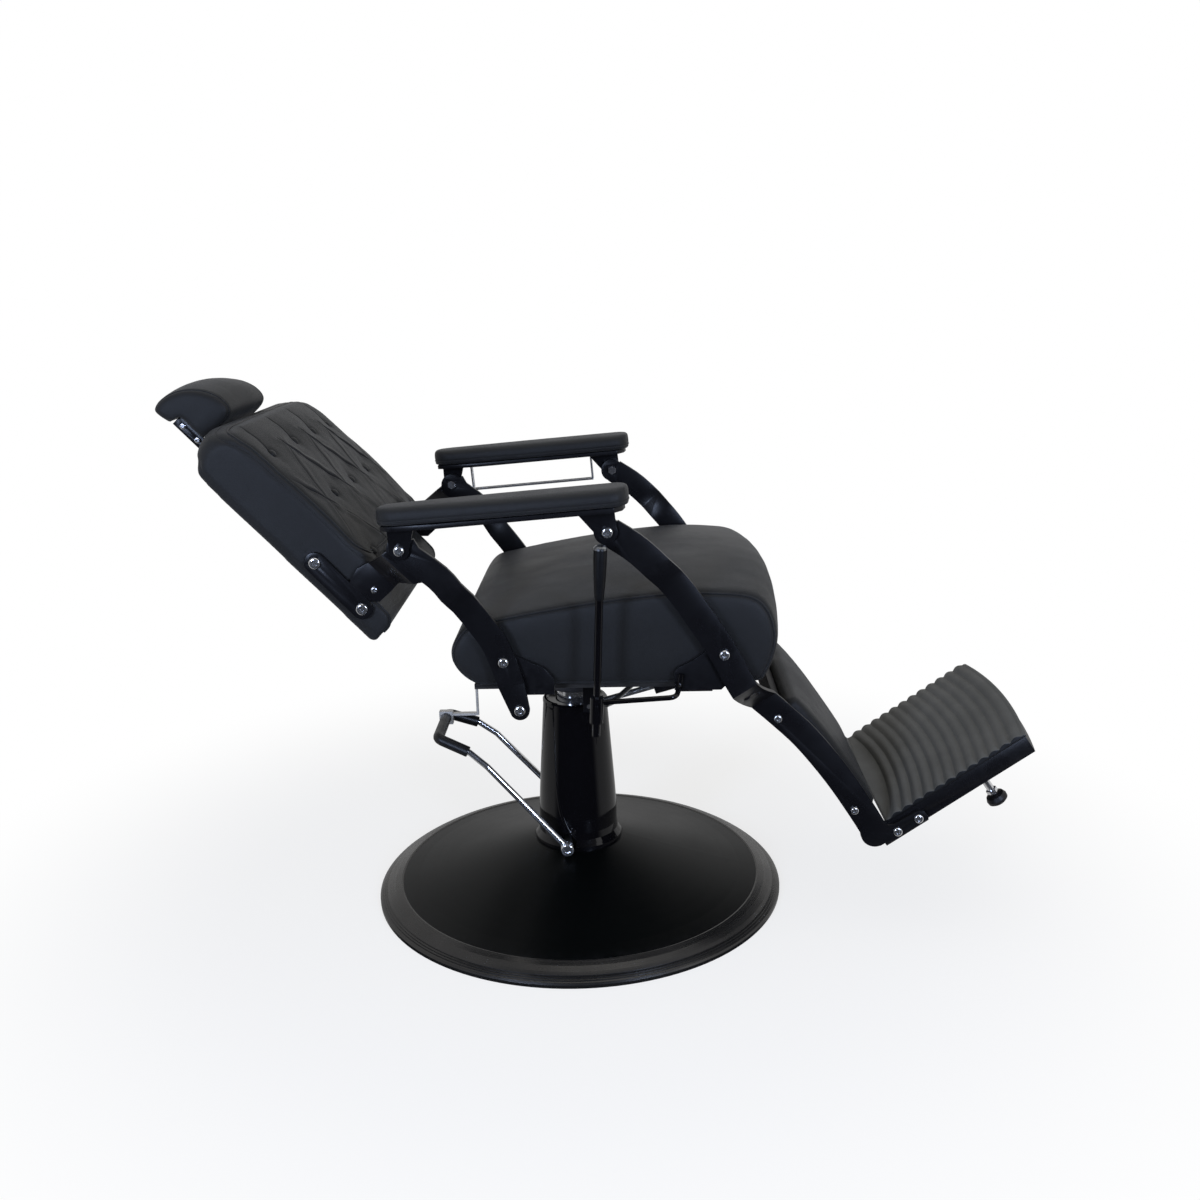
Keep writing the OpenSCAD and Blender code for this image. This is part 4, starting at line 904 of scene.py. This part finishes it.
def tube(path, radius, closed, name, sides=2):
    c = bpy.data.curves.new(name, "CURVE")
    c.dimensions = "3D"
    c.bevel_depth = radius
    c.bevel_resolution = sides
    c.resolution_u = 1
    c.use_fill_caps = True
    s = c.splines.new("POLY")
    s.points.add(len(path) - 1)
    for p, q in zip(s.points, path):
        p.co = (*q, 1)
    s.use_cyclic_u = closed
    pick(new_object(name, c))
    bpy.ops.object.convert(target="MESH")
    return smooth(bpy.context.object)


def stitches(o, path, pitch, name, radius=0.00042):
    """A closed run of top stitching: short threads that dip into the skin at both ends."""
    laid = skin_under(o, even(path, pitch, True))
    bm = bmesh.new()
    for (a, na), (b, nb) in zip(laid, laid[1:] + laid[:1]):
        run = b - a
        if run.length < pitch * 0.3:
            continue
        t = run.normalized()
        up = (na + nb).normalized()
        side = t.cross(up).normalized()
        rings = []
        for f, lift in ((0.1, -0.5), (0.3, 0.55), (0.7, 0.55), (0.9, -0.5)):
            c = a + run * f + up * radius * lift
            rings.append([bm.verts.new(c + (side * math.cos(q) + up * math.sin(q)) * radius)
                          for q in (0, math.pi / 2, math.pi, math.pi * 1.5)])
        for r0, r1 in zip(rings, rings[1:]):
            for k in range(4):
                bm.faces.new((r0[k], r0[(k + 1) % 4], r1[(k + 1) % 4], r1[k]))
        bm.faces.new(rings[0][::-1])
        bm.faces.new(rings[-1])
    bmesh.ops.recalc_face_normals(bm, faces=bm.faces[:])
    me = bpy.data.meshes.new(name)
    bm.to_mesh(me)
    bm.free()
    return smooth(new_object(name, me))


def upholster(o, fill, *nodes, finish="leather"):
    dress(o, nodes[0], finish)
    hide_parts(*nodes)


def pipe(o, node, seam, name, lift, radius, closed=True):
    """A piped cord that lies on the piece's skin along a seam."""
    dress(tube(lay_on(o, seam, lift), radius, closed, name), node)


class CHAIR_OT_seat(bpy.types.Operator):
    """Upholsters the seat: crowned top, flat side panels and piped edges"""
    bl_idname = "chair.seat"
    bl_label = "Seat cushion"

    def execute(self, context):
        u = context.scene.chair_upholstery
        node = "seat_cushion"
        lo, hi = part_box(node)
        o = padded_start(node, "Seat_cushion", voxel=0.006, rounds=3)
        co = points(o)
        # the nose and the rear corner are filled out
        x, z = co[:, 0].copy(), co[:, 2].copy()
        co[:, 0] += 0.009 * step((x - 0.16) / 0.12)
        co[:, 2] += 0.005 * mound(x - 0.295, z - 0.59, radius=0.032)
        rear = mound(x + 0.15, z - 0.555, radius=0.026)
        co[:, 0] -= 0.004 * rear
        co[:, 2] += 0.005 * rear
        set_points(o, co)
        half = hi.y
        board, soft = 0.012, 0.02
        base = np.clip((lo.z + board + soft - co[:, 2]) / soft, 0, 1)
        inflate(o, np.maximum(base, on_sides(co[:, 1], half)), pressure=3.5, cap=0.008)
        refine(o)
        for s, name in SIDES:
            loop = slice_loop(o, (0, s * (half - 0.0075), 0), (0, 1, 0))
            seam = sew_in(o, even(loop, 0.004, True), width=0.003, depth=0.0013)
            pipe(o, node, seam, f"Seat_piping_{name}", lift=0.0006, radius=u.piping * 0.75)
        upholster(o, 0.8, node)
        return {"FINISHED"}


def fold_height(y, u, p):
    """Relief of the diamond-buttoned face: creases between the tufts and the puffs they leave."""
    def lines(a, b):
        return [np.abs(np.mod(a + s * b + 100, 2) - 1) for s in (1, -1)]

    crease_w, puff_w = 0.0018, 0.009
    a, b = (u - p.tuft_mid) / p.tuft_row, y / (p.tuft_pitch / 2)
    width = min(p.tuft_row, p.tuft_pitch / 2) * 0.7
    d1, d2 = lines(a, b + CREASE_BEND * np.sin(a * math.pi))
    near = np.minimum(d1, d2) * width
    strong, faint = (np.exp(-(d * width / crease_w) ** 2) for d in (d1, d2))
    eased = np.exp(-np.minimum(*lines(a, b)) ** 2 / 0.03)
    edge = step((0.222 - np.abs(y)) / 0.03)
    inside = step((u - 0.085) / 0.02) * step((0.335 - u) / 0.02) * edge
    crease = np.maximum(strong, faint * 0.4) * 0.0024 + np.exp(-(near / puff_w) ** 2) * 0.0006 \
        - eased * 0.0028
    # pleats from the outer rows to the seam
    column = np.abs(np.mod(y / p.tuft_pitch + 0.5, 1) - 0.5) * p.tuft_pitch
    column = np.abs(p.tuft_pitch / 2 - column)
    top = step((u - (p.tuft_mid + p.tuft_row)) / 0.01) * step((0.376 - u) / 0.02)
    low = step(((p.tuft_mid - p.tuft_row) - u) / 0.01)
    pleat = np.exp(-(column / crease_w) ** 2) * 0.002 \
        + np.exp(-(column / puff_w) ** 2) * 0.0006
    return -crease * inside - pleat * (top + 0.6 * low) * edge


def tufts(p):
    """Places of the tufts, across and up the back: rows of four, three and four."""
    return [(j * p.tuft_pitch, p.tuft_mid + row * p.tuft_row) for row in (1, 0, -1)
            for j in ((-1.5, -0.5, 0.5, 1.5) if row else (-1, 0, 1))]


def round_frame(w, low, high, r, steps=200):
    """A rectangle with round corners, across and up the back: half width, foot, top, radius."""
    corners = ((-w, low), (w, low), (w, high), (-w, high))
    mid, tall = (low + high) / 2, (high - low) / 2
    out = []
    for k in range(steps):
        i, f = divmod(k * 4 / steps, 1)
        a, b = corners[int(i)], corners[(int(i) + 1) % 4]
        y, v = a[0] + (b[0] - a[0]) * f, a[1] + (b[1] - a[1]) * f - mid
        past_y, past_v = abs(y) - (w - r), abs(v) - (tall - r)
        if past_y > 0 and past_v > 0:
            k2 = r / math.hypot(past_y, past_v)
            y = math.copysign(w - r + past_y * k2, y)
            v = math.copysign(tall - r + past_v * k2, v)
        out.append((y, v + mid))
    return out


class CHAIR_OT_back(bpy.types.Operator):
    """Upholsters the back: boxed sides, double seam and a diamond-buttoned face"""
    bl_idname = "chair.back"
    bl_label = "Back cushion"

    def shape(self, o, half, shoulder=0.33, top=0.404, corner=0.03):
        """Rounds the top end towards its corners, draws the tail out and turns the rear in."""
        co = points(o)
        out, across, up = back_coords(co)
        bins = np.linspace(-half, half, 61)
        tall = np.array([up[np.abs(across - b) < 0.009].max() for b in bins])
        away = np.maximum(np.abs(bins) - (half - corner), 0)
        wanted = np.minimum(tall, top - 0.01 * step((np.abs(bins) - 0.15) / 0.08)
                            - (corner - np.sqrt(corner ** 2 - away ** 2 * 0.8)))
        share = np.interp(across, bins, (wanted - shoulder) / (tall - shoulder))
        co += BACK_UP * (np.maximum(up - shoulder, 0) * (share - 1))[:, None]
        point = mound(out - 0.004, up, radius=0.012)
        co -= (BACK_UP * 0.006 + BACK_OUT * 0.002) * point[:, None]
        turned_in = np.clip((0.026 - out) / 0.022, 0, 1) ** 2 \
            * np.clip((np.abs(across) - half + 0.03) / 0.03, 0, 1)
        co[:, 1] -= np.sign(across) * 0.008 * turned_in
        set_points(o, co)
        ease(o, (out < 0.05) & (up > 0.35), 5)

    def button_down(self, o, places, u):
        """Presses the tufts, the creases and the puffs between them into the face."""
        co, no = points(o), normals(o)
        out, across, up = back_coords(co)
        facing = step((no @ BACK_OUT - 0.3) / 0.4) * step((out - 0.06) / 0.02)
        away = [(across - y) ** 2 + (up - v) ** 2 for y, v in places]
        for r2 in away:
            co -= BACK_OUT * (facing * 0.005 * np.exp(-r2 / 0.009 ** 2))[:, None]
        full = sum(np.exp(-r2 / 0.0007) for r2 in away)
        co += BACK_OUT * (facing * (fold_height(across, up, u) + 0.007 * full))[:, None]
        set_points(o, co)

    def execute(self, context):
        u = context.scene.chair_upholstery
        node = "back_cushion"
        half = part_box(node)[1].y
        places = tufts(u)
        o = padded_start(node, "Back_cushion", "back_shell", voxel=0.0065, rounds=2)
        self.shape(o, half)
        out, across, up = back_coords(points(o))
        face = step((out - 0.06) / 0.02) * step((up - 0.075) / 0.01)
        pull = np.zeros(len(out))
        for y, v in places:
            pull = np.maximum(pull, mound(across - y, up - v, radius=0.012))
        held = np.maximum(np.maximum(1 - face, np.clip(pull * 2, 0, 1)),
                          on_sides(across, half) * 0.95)
        inflate(o, held, pressure=3.0, cap=0.006)
        refine(o)

        def buttoned(centres):
            n, y, v = back_coords(centres)
            return (n > 0.07) & (np.abs(y) < 0.232) & (v > 0.075) & (v < 0.39)

        def around(out, *frame):
            path = [back_point(out - 0.02 * max(0, (v - 0.33) / 0.05), y, v)
                    for y, v in round_frame(*frame)]
            return lay_on(o, even(path, 0.004, True))

        finer(o, buttoned)
        self.button_down(o, places, u)
        seam = sew_in(o, around(0.103, half - 0.008, 0.098, 0.383, 0.034), width=0.0036,
                      depth=0.0016)
        second = sew_in(o, around(0.094, half + 0.004, 0.09, 0.393, 0.038), width=0.0026,
                        depth=0.0009)
        dress(stitches(o, second, u.stitch, "Back_stitching"), node)
        pipe(o, node, seam, "Back_piping", lift=0.0004, radius=u.piping * 0.8)
        for s, name in SIDES:
            # the side panels' seam along the rear edge, and the piped edge of the tail
            rear = [back_point(0.0125, s * 0.24, v) for v in np.linspace(0.012, 0.385, 90)]
            sew_in(o, lay_on(o, even(rear, 0.004, False)), width=0.0034, depth=0.0014)
            tail = [back_point(n, s * 0.228, v) for n, v in
                    ((0.03, 0.0), (0.05, 0.0035), (0.0565, 0.012), (0.0575, 0.04),
                     (0.0565, 0.078))]
            pipe(o, node, even(tail, 0.003, False), f"Tail_piping_{name}", lift=0.0002,
                 radius=u.piping * 0.8, closed=False)
        upholster(o, 0.75, node, "back_shell", finish="tufted")
        return {"FINISHED"}


def leather_button(radius):
    """A covered button: domed face over a tucked rim, turned from one profile."""
    clear()
    profile = ((0.0001, 0.0042), (0.35, 0.0040), (0.62, 0.0033), (0.85, 0.0021), (0.97, 0.0006),
               (1.0, -0.001), (0.95, -0.0026), (0.8, -0.0036), (0.0001, -0.0036))
    me = bpy.data.meshes.new("Button")
    me.from_pydata([(r * radius if r > 0.001 else 0, 0, z) for r, z in profile],
                   [(i, i + 1) for i in range(len(profile) - 1)], [])
    o = new_object("Button", me)
    with editing(o):
        bpy.ops.mesh.spin(steps=28, angle=math.tau, center=(0, 0, 0), axis=(0, 0, 1))
        bpy.ops.mesh.select_all(action="SELECT")
        bpy.ops.mesh.remove_doubles(threshold=0.00001)
        bpy.ops.mesh.normals_make_consistent(inside=False)
    return smooth(o)


class CHAIR_OT_buttons(bpy.types.Operator):
    """Sets the covered buttons in the tufts of the back"""
    bl_idname = "chair.buttons"
    bl_label = "Buttons"

    def execute(self, context):
        u = context.scene.chair_upholstery
        master = leather_button(u.button)
        out, up = Vector(BACK_OUT), Vector(BACK_UP)
        turn = Matrix((up.cross(out), up, out)).transposed().to_4x4()
        tree = BVHTree.FromObject(bpy.data.objects["Back_cushion"],
                                  context.evaluated_depsgraph_get())
        copies = []
        for y, v in tufts(u):
            c = new_object("Button", master.data.copy())
            m = turn.copy()
            m.translation = tree.ray_cast(back_point(0.2, y, v), -out)[0] + out * 0.003
            c.matrix_world = m
            copies.append(c)
        bpy.data.objects.remove(master)
        o = dress(join(copies, "Tuft_buttons"), "back_buttons")
        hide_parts("back_buttons")
        return {"FINISHED"}


class CHAIR_OT_headrest(bpy.types.Operator):
    """Upholsters the headrest: curved pad between two sewn end caps"""
    bl_idname = "chair.headrest"
    bl_label = "Headrest"

    def execute(self, context):
        u = context.scene.chair_upholstery
        node = "headrest_cushion"
        o = padded_start(node, "Headrest_cushion", voxel=0.0035, rounds=3)
        co = points(o)
        under = step(((co - np.array([-0.60, 0, 0.855])) @ -BACK_OUT + 0.004) / 0.01) \
            * step((0.1 - np.abs(co[:, 1])) / 0.01)
        inflate(o, under, pressure=3.0, cap=0.004)
        refine(o)
        for s, name in SIDES:
            loop = slice_loop(o, (0, s * 0.0945, 0), (0, 1, 0))
            seam = sew_in(o, even(loop, 0.003, True), width=0.0028, depth=0.0013)
            pipe(o, node, seam, f"Headrest_piping_{name}", lift=0.0003,
                 radius=u.piping * 0.7)
        upholster(o, 0.8, node)
        return {"FINISHED"}


class CHAIR_OT_calf(bpy.types.Operator):
    """Upholsters the calf pad"""
    bl_idname = "chair.calf"
    bl_label = "Calf pad"

    def execute(self, context):
        node = "calf_cushion"
        o = padded_start(node, "Calf_cushion", voxel=0.004, rounds=3)
        lean = math.radians(54)
        out = Vector((math.sin(lean), 0, math.cos(lean)))
        along = np.array((-math.cos(lean), 0, math.sin(lean)))
        co = points(o)
        # the upper part is drawn down, so that the pad ends below the seat's nose
        rise = co @ along - (co @ along).min()
        co -= along * (0.42 * np.maximum(rise - 0.155, 0))[:, None]
        set_points(o, co)
        d = points(o) @ np.array(out)
        held = np.clip((d.min() + 0.012 - d) / 0.008, 0, 1)
        inflate(o, held, pressure=3.0, cap=0.004)
        refine(o)
        upholster(o, 0.7, node)
        return {"FINISHED"}


def bottom_line(co, d):
    """Lowest height along the pad's length, for holding its base."""
    xs = np.linspace(co[:, 0].min(), co[:, 0].max(), 40)
    lows = [d[np.abs(co[:, 0] - x) < 0.01].min() for x in xs]
    return xs, np.array(lows)


class CHAIR_OT_armrests(bpy.types.Operator):
    """Upholsters the two armrest pads"""
    bl_idname = "chair.armrests"
    bl_label = "Armrest pads"

    def execute(self, context):
        u = context.scene.chair_upholstery
        fall = 0.07
        for _, side in SIDES:
            node = f"armrest_pad_{side}"
            o = padded_start(node, f"Armrest_pad_{side}", voxel=0.0032, rounds=3)
            co = points(o)
            tilt = np.array([-fall, 0, 1.0])
            d = co @ tilt
            base = bottom_line(co, d)
            slope = d - np.interp(co[:, 0], *base)
            held = np.clip((0.006 - slope) / 0.004, 0, 1)
            inflate(o, held, pressure=2.5, cap=0.0025)
            refine(o)
            lo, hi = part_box(node)
            mid_x = (lo.x + hi.x) / 2
            foot = np.interp(mid_x, *base) + 0.0075 + fall * mid_x
            loop = slice_loop(o, (mid_x, 0, foot), Vector(tilt).normalized())
            seam = sew_in(o, even(loop, 0.003, True), width=0.0022, depth=0.001)
            pipe(o, node, seam, f"Armrest_welt_{side}", lift=0.0002, radius=u.piping * 0.6)
            upholster(o, 0.85, node)
        return {"FINISHED"}


# ---------- steelwork and fastenings ----------

SOFT_EDGED = ("rear_link_right", "rear_link_left", "front_link_right", "front_link_left",
              "back_straps", "armrest_rail_right", "armrest_rail_left", "seat_brackets_front",
              "seat_brackets_rear", "footplate_tray", "headrest_prongs", "seat_frame",
              "tread_pad")


class CHAIR_OT_steelwork(bpy.types.Operator):
    """Softens the cut edges of the flat steel parts and of the tread, and paints the tread's end
    faces black as painted shade
    """
    bl_idname = "chair.steelwork"
    bl_label = "Steelwork"

    def execute(self, context):
        edge = context.scene.chair_finish.edge
        for node in SOFT_EDGED:
            o = copy_node(node, node.title() + "_edged")
            with editing(o):
                bpy.ops.mesh.dissolve_limited(angle_limit=math.radians(0.4))
            apply(o, "BEVEL", width=edge, segments=2, limit_method="ANGLE",
                  angle_limit=math.radians(38), harden_normals=False)
            dress(smooth(o, 32), node)
            # painted shade: the tread's end faces across the rib ends get the black rubber, so that
            # only their bevelled top edges read light
            if node == "tread_pad":
                o.data.materials.append(FINISHES["rubber"])
                for f in o.data.polygons:
                    f.material_index = int(abs(f.normal.y) > 0.8)
            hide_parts(node)
        return {"FINISHED"}


def bent(corners, radius):
    """A path through the corners, each one rounded to a bend of the radius."""
    path = [Vector(corners[0])]
    for a, b, c in zip(corners, corners[1:], corners[2:]):
        a, b, c = Vector(a), Vector(b), Vector(c)
        back, ahead = a - b, c - b
        cut = min(radius / math.tan(back.angle(ahead) / 2), back.length * 0.48,
                  ahead.length * 0.48)
        start, end = b + back.normalized() * cut, b + ahead.normalized() * cut
        for k in range(13):
            t = k / 12
            path.append(start.lerp(b, t).lerp(b.lerp(end, t), t))
    return path + [Vector(corners[-1])]


class CHAIR_OT_guard_rod(bpy.types.Operator):
    """Bends the rod that guards the recline lever"""
    bl_idname = "chair.guard_rod"
    bl_label = "Guard rod"

    def execute(self, context):
        path = bent([(0.176, -0.269, 0.480), (0.173, -0.269, 0.459), (0.167, -0.2975, 0.453),
                     (0.048, -0.2975, 0.446), (0.048, -0.3255, 0.446)], radius=0.014)
        rod = tube(path, radius=0.004, closed=False, name="Guard_rod", sides=5)
        o = dress(rod, "lever_guard_rod")
        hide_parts("lever_guard_rod")
        return {"FINISHED"}


class CHAIR_OT_pedal(bpy.types.Operator):
    """Bends the pedal's bar, and the rubber grip over its end"""
    bl_idname = "chair.pedal"
    bl_label = "Pedal"

    def execute(self, context):
        bend, bar_r, grip_r, eye_r, eye_half = 0.014, 0.0055, 0.0095, 0.011, 0.006
        x, z = -0.017, 0.105
        out = points(NODES["pedal_lever"])[:, 1].max() - eye_half
        side = [Vector(v) for v in ((x, out, z), (-0.15, 0.08, 0.255), (-0.18, 0.074, 0.279),
                                    (-0.235, 0.063, 0.301))]
        near = [Vector((v.x, -v.y, v.z)) for v in side]
        pieces = [tube(bent(near + side[::-1], bend), bar_r, False, "Pedal_bar", 5)]
        for s in (-1, 1):
            clear()
            bpy.ops.mesh.primitive_cylinder_add(vertices=64, radius=eye_r, depth=2 * eye_half,
                                                location=(x, s * out, z),
                                                rotation=(math.pi / 2, 0, 0))
            pieces.append(apply(context.object, "BEVEL", width=0.001, segments=2,
                                limit_method="ANGLE"))
        bar = dress(smooth(join(pieces, "Pedal_bar"), 32), "pedal_lever")
        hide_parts("pedal_lever")
        ends = [v[2].lerp(v[3], 0.05) for v in (near, side)]
        grip = tube(bent([ends[0], near[3], side[3], ends[1]], bend), grip_r, False,
                    "Pedal_rubber", 5)
        dress(smooth(grip, 32), "pedal_grip")
        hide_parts("pedal_grip")
        return {"FINISHED"}


def islands(o):
    """Loose parts of a mesh, as arrays of points."""
    bm = bmesh.new()
    bm.from_mesh(o.data)
    seen, parts = set(), []
    for v in bm.verts:
        if v in seen:
            continue
        todo, part = [v], []
        seen.add(v)
        while todo:
            w = todo.pop()
            part.append(w.co.copy())
            for e in w.link_edges:
                x = e.other_vert(w)
                if x not in seen:
                    seen.add(x)
                    todo.append(x)
        parts.append(np.array(part))
    bm.free()
    return parts


def socket_screw(radius, height, shank, length):
    """A button-head screw with a hexagon socket, head up along +Z, shank below."""
    clear()
    bpy.ops.mesh.primitive_cylinder_add(vertices=48, radius=radius, depth=height,
                                        location=(0, 0, height / 2))
    o = seat_in_place(bpy.context.object, "Screw")
    with editing(o, None):
        bpy.ops.mesh.select_mode(type="FACE")
    for part in (o.data.vertices, o.data.edges):
        for element in part:
            element.select = False
    for f in o.data.polygons:
        f.select = f.normal.z > 0.9
    with editing(o, None):
        bpy.ops.transform.translate(value=(0, 0, -height * 0.55))
        for grow, rise in ((0.05, 0.25), (0.12, 0.18), (0.2, 0.12)):
            bpy.ops.mesh.extrude_region_move(
                TRANSFORM_OT_translate={"value": (0, 0, height * rise)})
            bpy.ops.transform.resize(value=(1 - grow, 1 - grow, 1))
        bpy.ops.mesh.inset(thickness=radius * 0.14)
        bpy.ops.mesh.delete(type="FACE")
    # the socket's mouth: the round rim is drawn onto a hexagon, then taken down
    top = max(v.co.z for v in o.data.vertices)
    inner = min(math.hypot(v.co.x, v.co.y) for v in o.data.vertices if v.co.z > top - 1e-6)
    with editing(o, None):
        bm = bmesh.from_edit_mesh(o.data)
        for v in bm.verts:
            v.select = v.co.z > top - 1e-6 and math.hypot(v.co.x, v.co.y) < inner + 1e-6
        for e in bm.edges:
            e.select = all(v.select for v in e.verts)
        bmesh.update_edit_mesh(o.data)
        bpy.ops.mesh.select_mode(type="EDGE")
        bpy.ops.mesh.extrude_region_move(TRANSFORM_OT_translate={"value": (0, 0, 0)})
        bm = bmesh.from_edit_mesh(o.data)
        flat = radius * 0.4
        for v in bm.verts:
            if v.select:
                a = math.atan2(v.co.y, v.co.x)
                k = math.cos((a + math.pi / 6) % (math.pi / 3) - math.pi / 6)
                v.co.x, v.co.y = math.cos(a) * flat / k, math.sin(a) * flat / k
        bmesh.update_edit_mesh(o.data)
        bpy.ops.mesh.extrude_region_move(
            TRANSFORM_OT_translate={"value": (0, 0, -height * 0.62)})
        bpy.ops.mesh.edge_face_add()
    if length > 0:
        clear()
        bpy.ops.mesh.primitive_cylinder_add(vertices=32, radius=shank, depth=length,
                                            location=(0, 0, -length / 2 + 0.0001))
        rod = bpy.context.object
        with editing(rod):
            bpy.ops.mesh.bevel(offset=shank * 0.12, segments=2, affect="EDGES")
        o = join([o, rod], "Screw")
    with editing(o):
        bpy.ops.mesh.normals_make_consistent(inside=False)
    return smooth(o, 35)


def hex_nut(radius, low, high):
    """A hexagon nut between two heights on the screw's axis, with chamfered corners."""
    clear()
    bpy.ops.mesh.primitive_cylinder_add(vertices=6, radius=radius, depth=high - low,
                                        location=(0, 0, (low + high) / 2))
    o = bpy.context.object
    with editing(o):
        bpy.ops.mesh.bevel(offset=radius * 0.08, segments=2, affect="EDGES")
    return o


SCREWS = {"seat_pivot_bolts": "Seat_pivot_screws", "arm_bolts_rear": "Arm_screws_rear",
          "arm_bolts_front": "Arm_screws_front", "leg_bolts": "Leg_screws",
          "back_screws": "Back_screws", "headrest_screws": "Headrest_screws",
          "pedal_bolts": "Pedal_screws"}
WASHER = 0.0008
TALLEST_HEAD = 0.009
HEAD_OVER_WASHER = 0.004


def screw_for(part):
    """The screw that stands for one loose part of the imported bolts, in its place."""
    y = part[:, 1]
    s = 1 if y.mean() > 0 else -1
    far, inner = (y * s).max(), (y * s).min()
    face = part[y * s > far - 0.0002]
    cx, cz = ((face[:, k].max() + face[:, k].min()) / 2 for k in (0, 2))
    r = np.hypot(part[:, 0] - cx, part[:, 2] - cz)
    wide = r.max()
    under = (part[r > wide - 0.0003][:, 1] * s).min()
    height = far - under
    if height > TALLEST_HEAD:
        under, height = far - HEAD_OVER_WASHER, HEAD_OVER_WASHER
    behind = (y * s < under - WASHER) & (r > 0.0012)
    shank = r[behind].min() if behind.any() else wide * 0.5
    screw = socket_screw(wide, height, shank, under - inner)
    nut = y[behind & (r > shank + 0.001)] * s
    if len(nut):
        screw = join([screw, hex_nut(r[behind].max(), nut.min() - under, nut.max() - under)],
                     "Screw")
    turn = Matrix.Rotation(math.radians(-90 * s), 4, "X")
    screw.data.transform(Matrix.Translation((cx, s * under, cz)) @ turn)
    return screw


class CHAIR_OT_screws(bpy.types.Operator):
    """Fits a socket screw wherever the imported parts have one"""
    bl_idname = "chair.screws"
    bl_label = "Screws"

    def execute(self, context):
        for node, name in SCREWS.items():
            source = copy_node(node, "source")
            made = [screw_for(part) for part in islands(source)
                    if np.ptp(part[:, 1]) >= WASHER]
            bpy.data.objects.remove(source)
            o = dress(join(made, name), node)
            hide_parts(node)
        return {"FINISHED"}


# ---------- panel ----------

STEPS = (CHAIR_OT_camera, CHAIR_OT_stage, CHAIR_OT_finishes, CHAIR_OT_seat, CHAIR_OT_back,
         CHAIR_OT_buttons, CHAIR_OT_headrest, CHAIR_OT_calf, CHAIR_OT_armrests,
         CHAIR_OT_steelwork, CHAIR_OT_guard_rod, CHAIR_OT_pedal, CHAIR_OT_screws)


class CHAIR_PT_panel(bpy.types.Panel):
    bl_idname = "CHAIR_PT_panel"
    bl_label = "Barber chair"
    bl_space_type = "VIEW_3D"
    bl_region_type = "UI"
    bl_category = "Barber chair"

    def draw(self, context):
        for title, props in (("Upholstery", context.scene.chair_upholstery),
                             ("Finishes", context.scene.chair_finish),
                             ("Stage", context.scene.chair_stage)):
            box = self.layout.box()
            box.label(text=title)
            for k in props.bl_rna.properties.keys():
                if k not in ("rna_type", "name"):
                    box.prop(props, k)
        for s in STEPS:
            self.layout.operator(s.bl_idname)


CLASSES = (UpholsteryProps, FinishProps, StageProps, *STEPS, CHAIR_PT_panel)


def register():
    for c in CLASSES:
        bpy.utils.register_class(c)
    bpy.types.Scene.chair_upholstery = bpy.props.PointerProperty(type=UpholsteryProps)
    bpy.types.Scene.chair_finish = bpy.props.PointerProperty(type=FinishProps)
    bpy.types.Scene.chair_stage = bpy.props.PointerProperty(type=StageProps)


def unregister():
    for k in ("chair_upholstery", "chair_finish", "chair_stage"):
        delattr(bpy.types.Scene, k)
    for c in reversed(CLASSES):
        bpy.utils.unregister_class(c)


def main():
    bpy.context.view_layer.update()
    register()
    for s in STEPS:
        kind, name = s.bl_idname.split(".")
        getattr(getattr(bpy.ops, kind), name)()


if __name__ == "__main__":
    main()
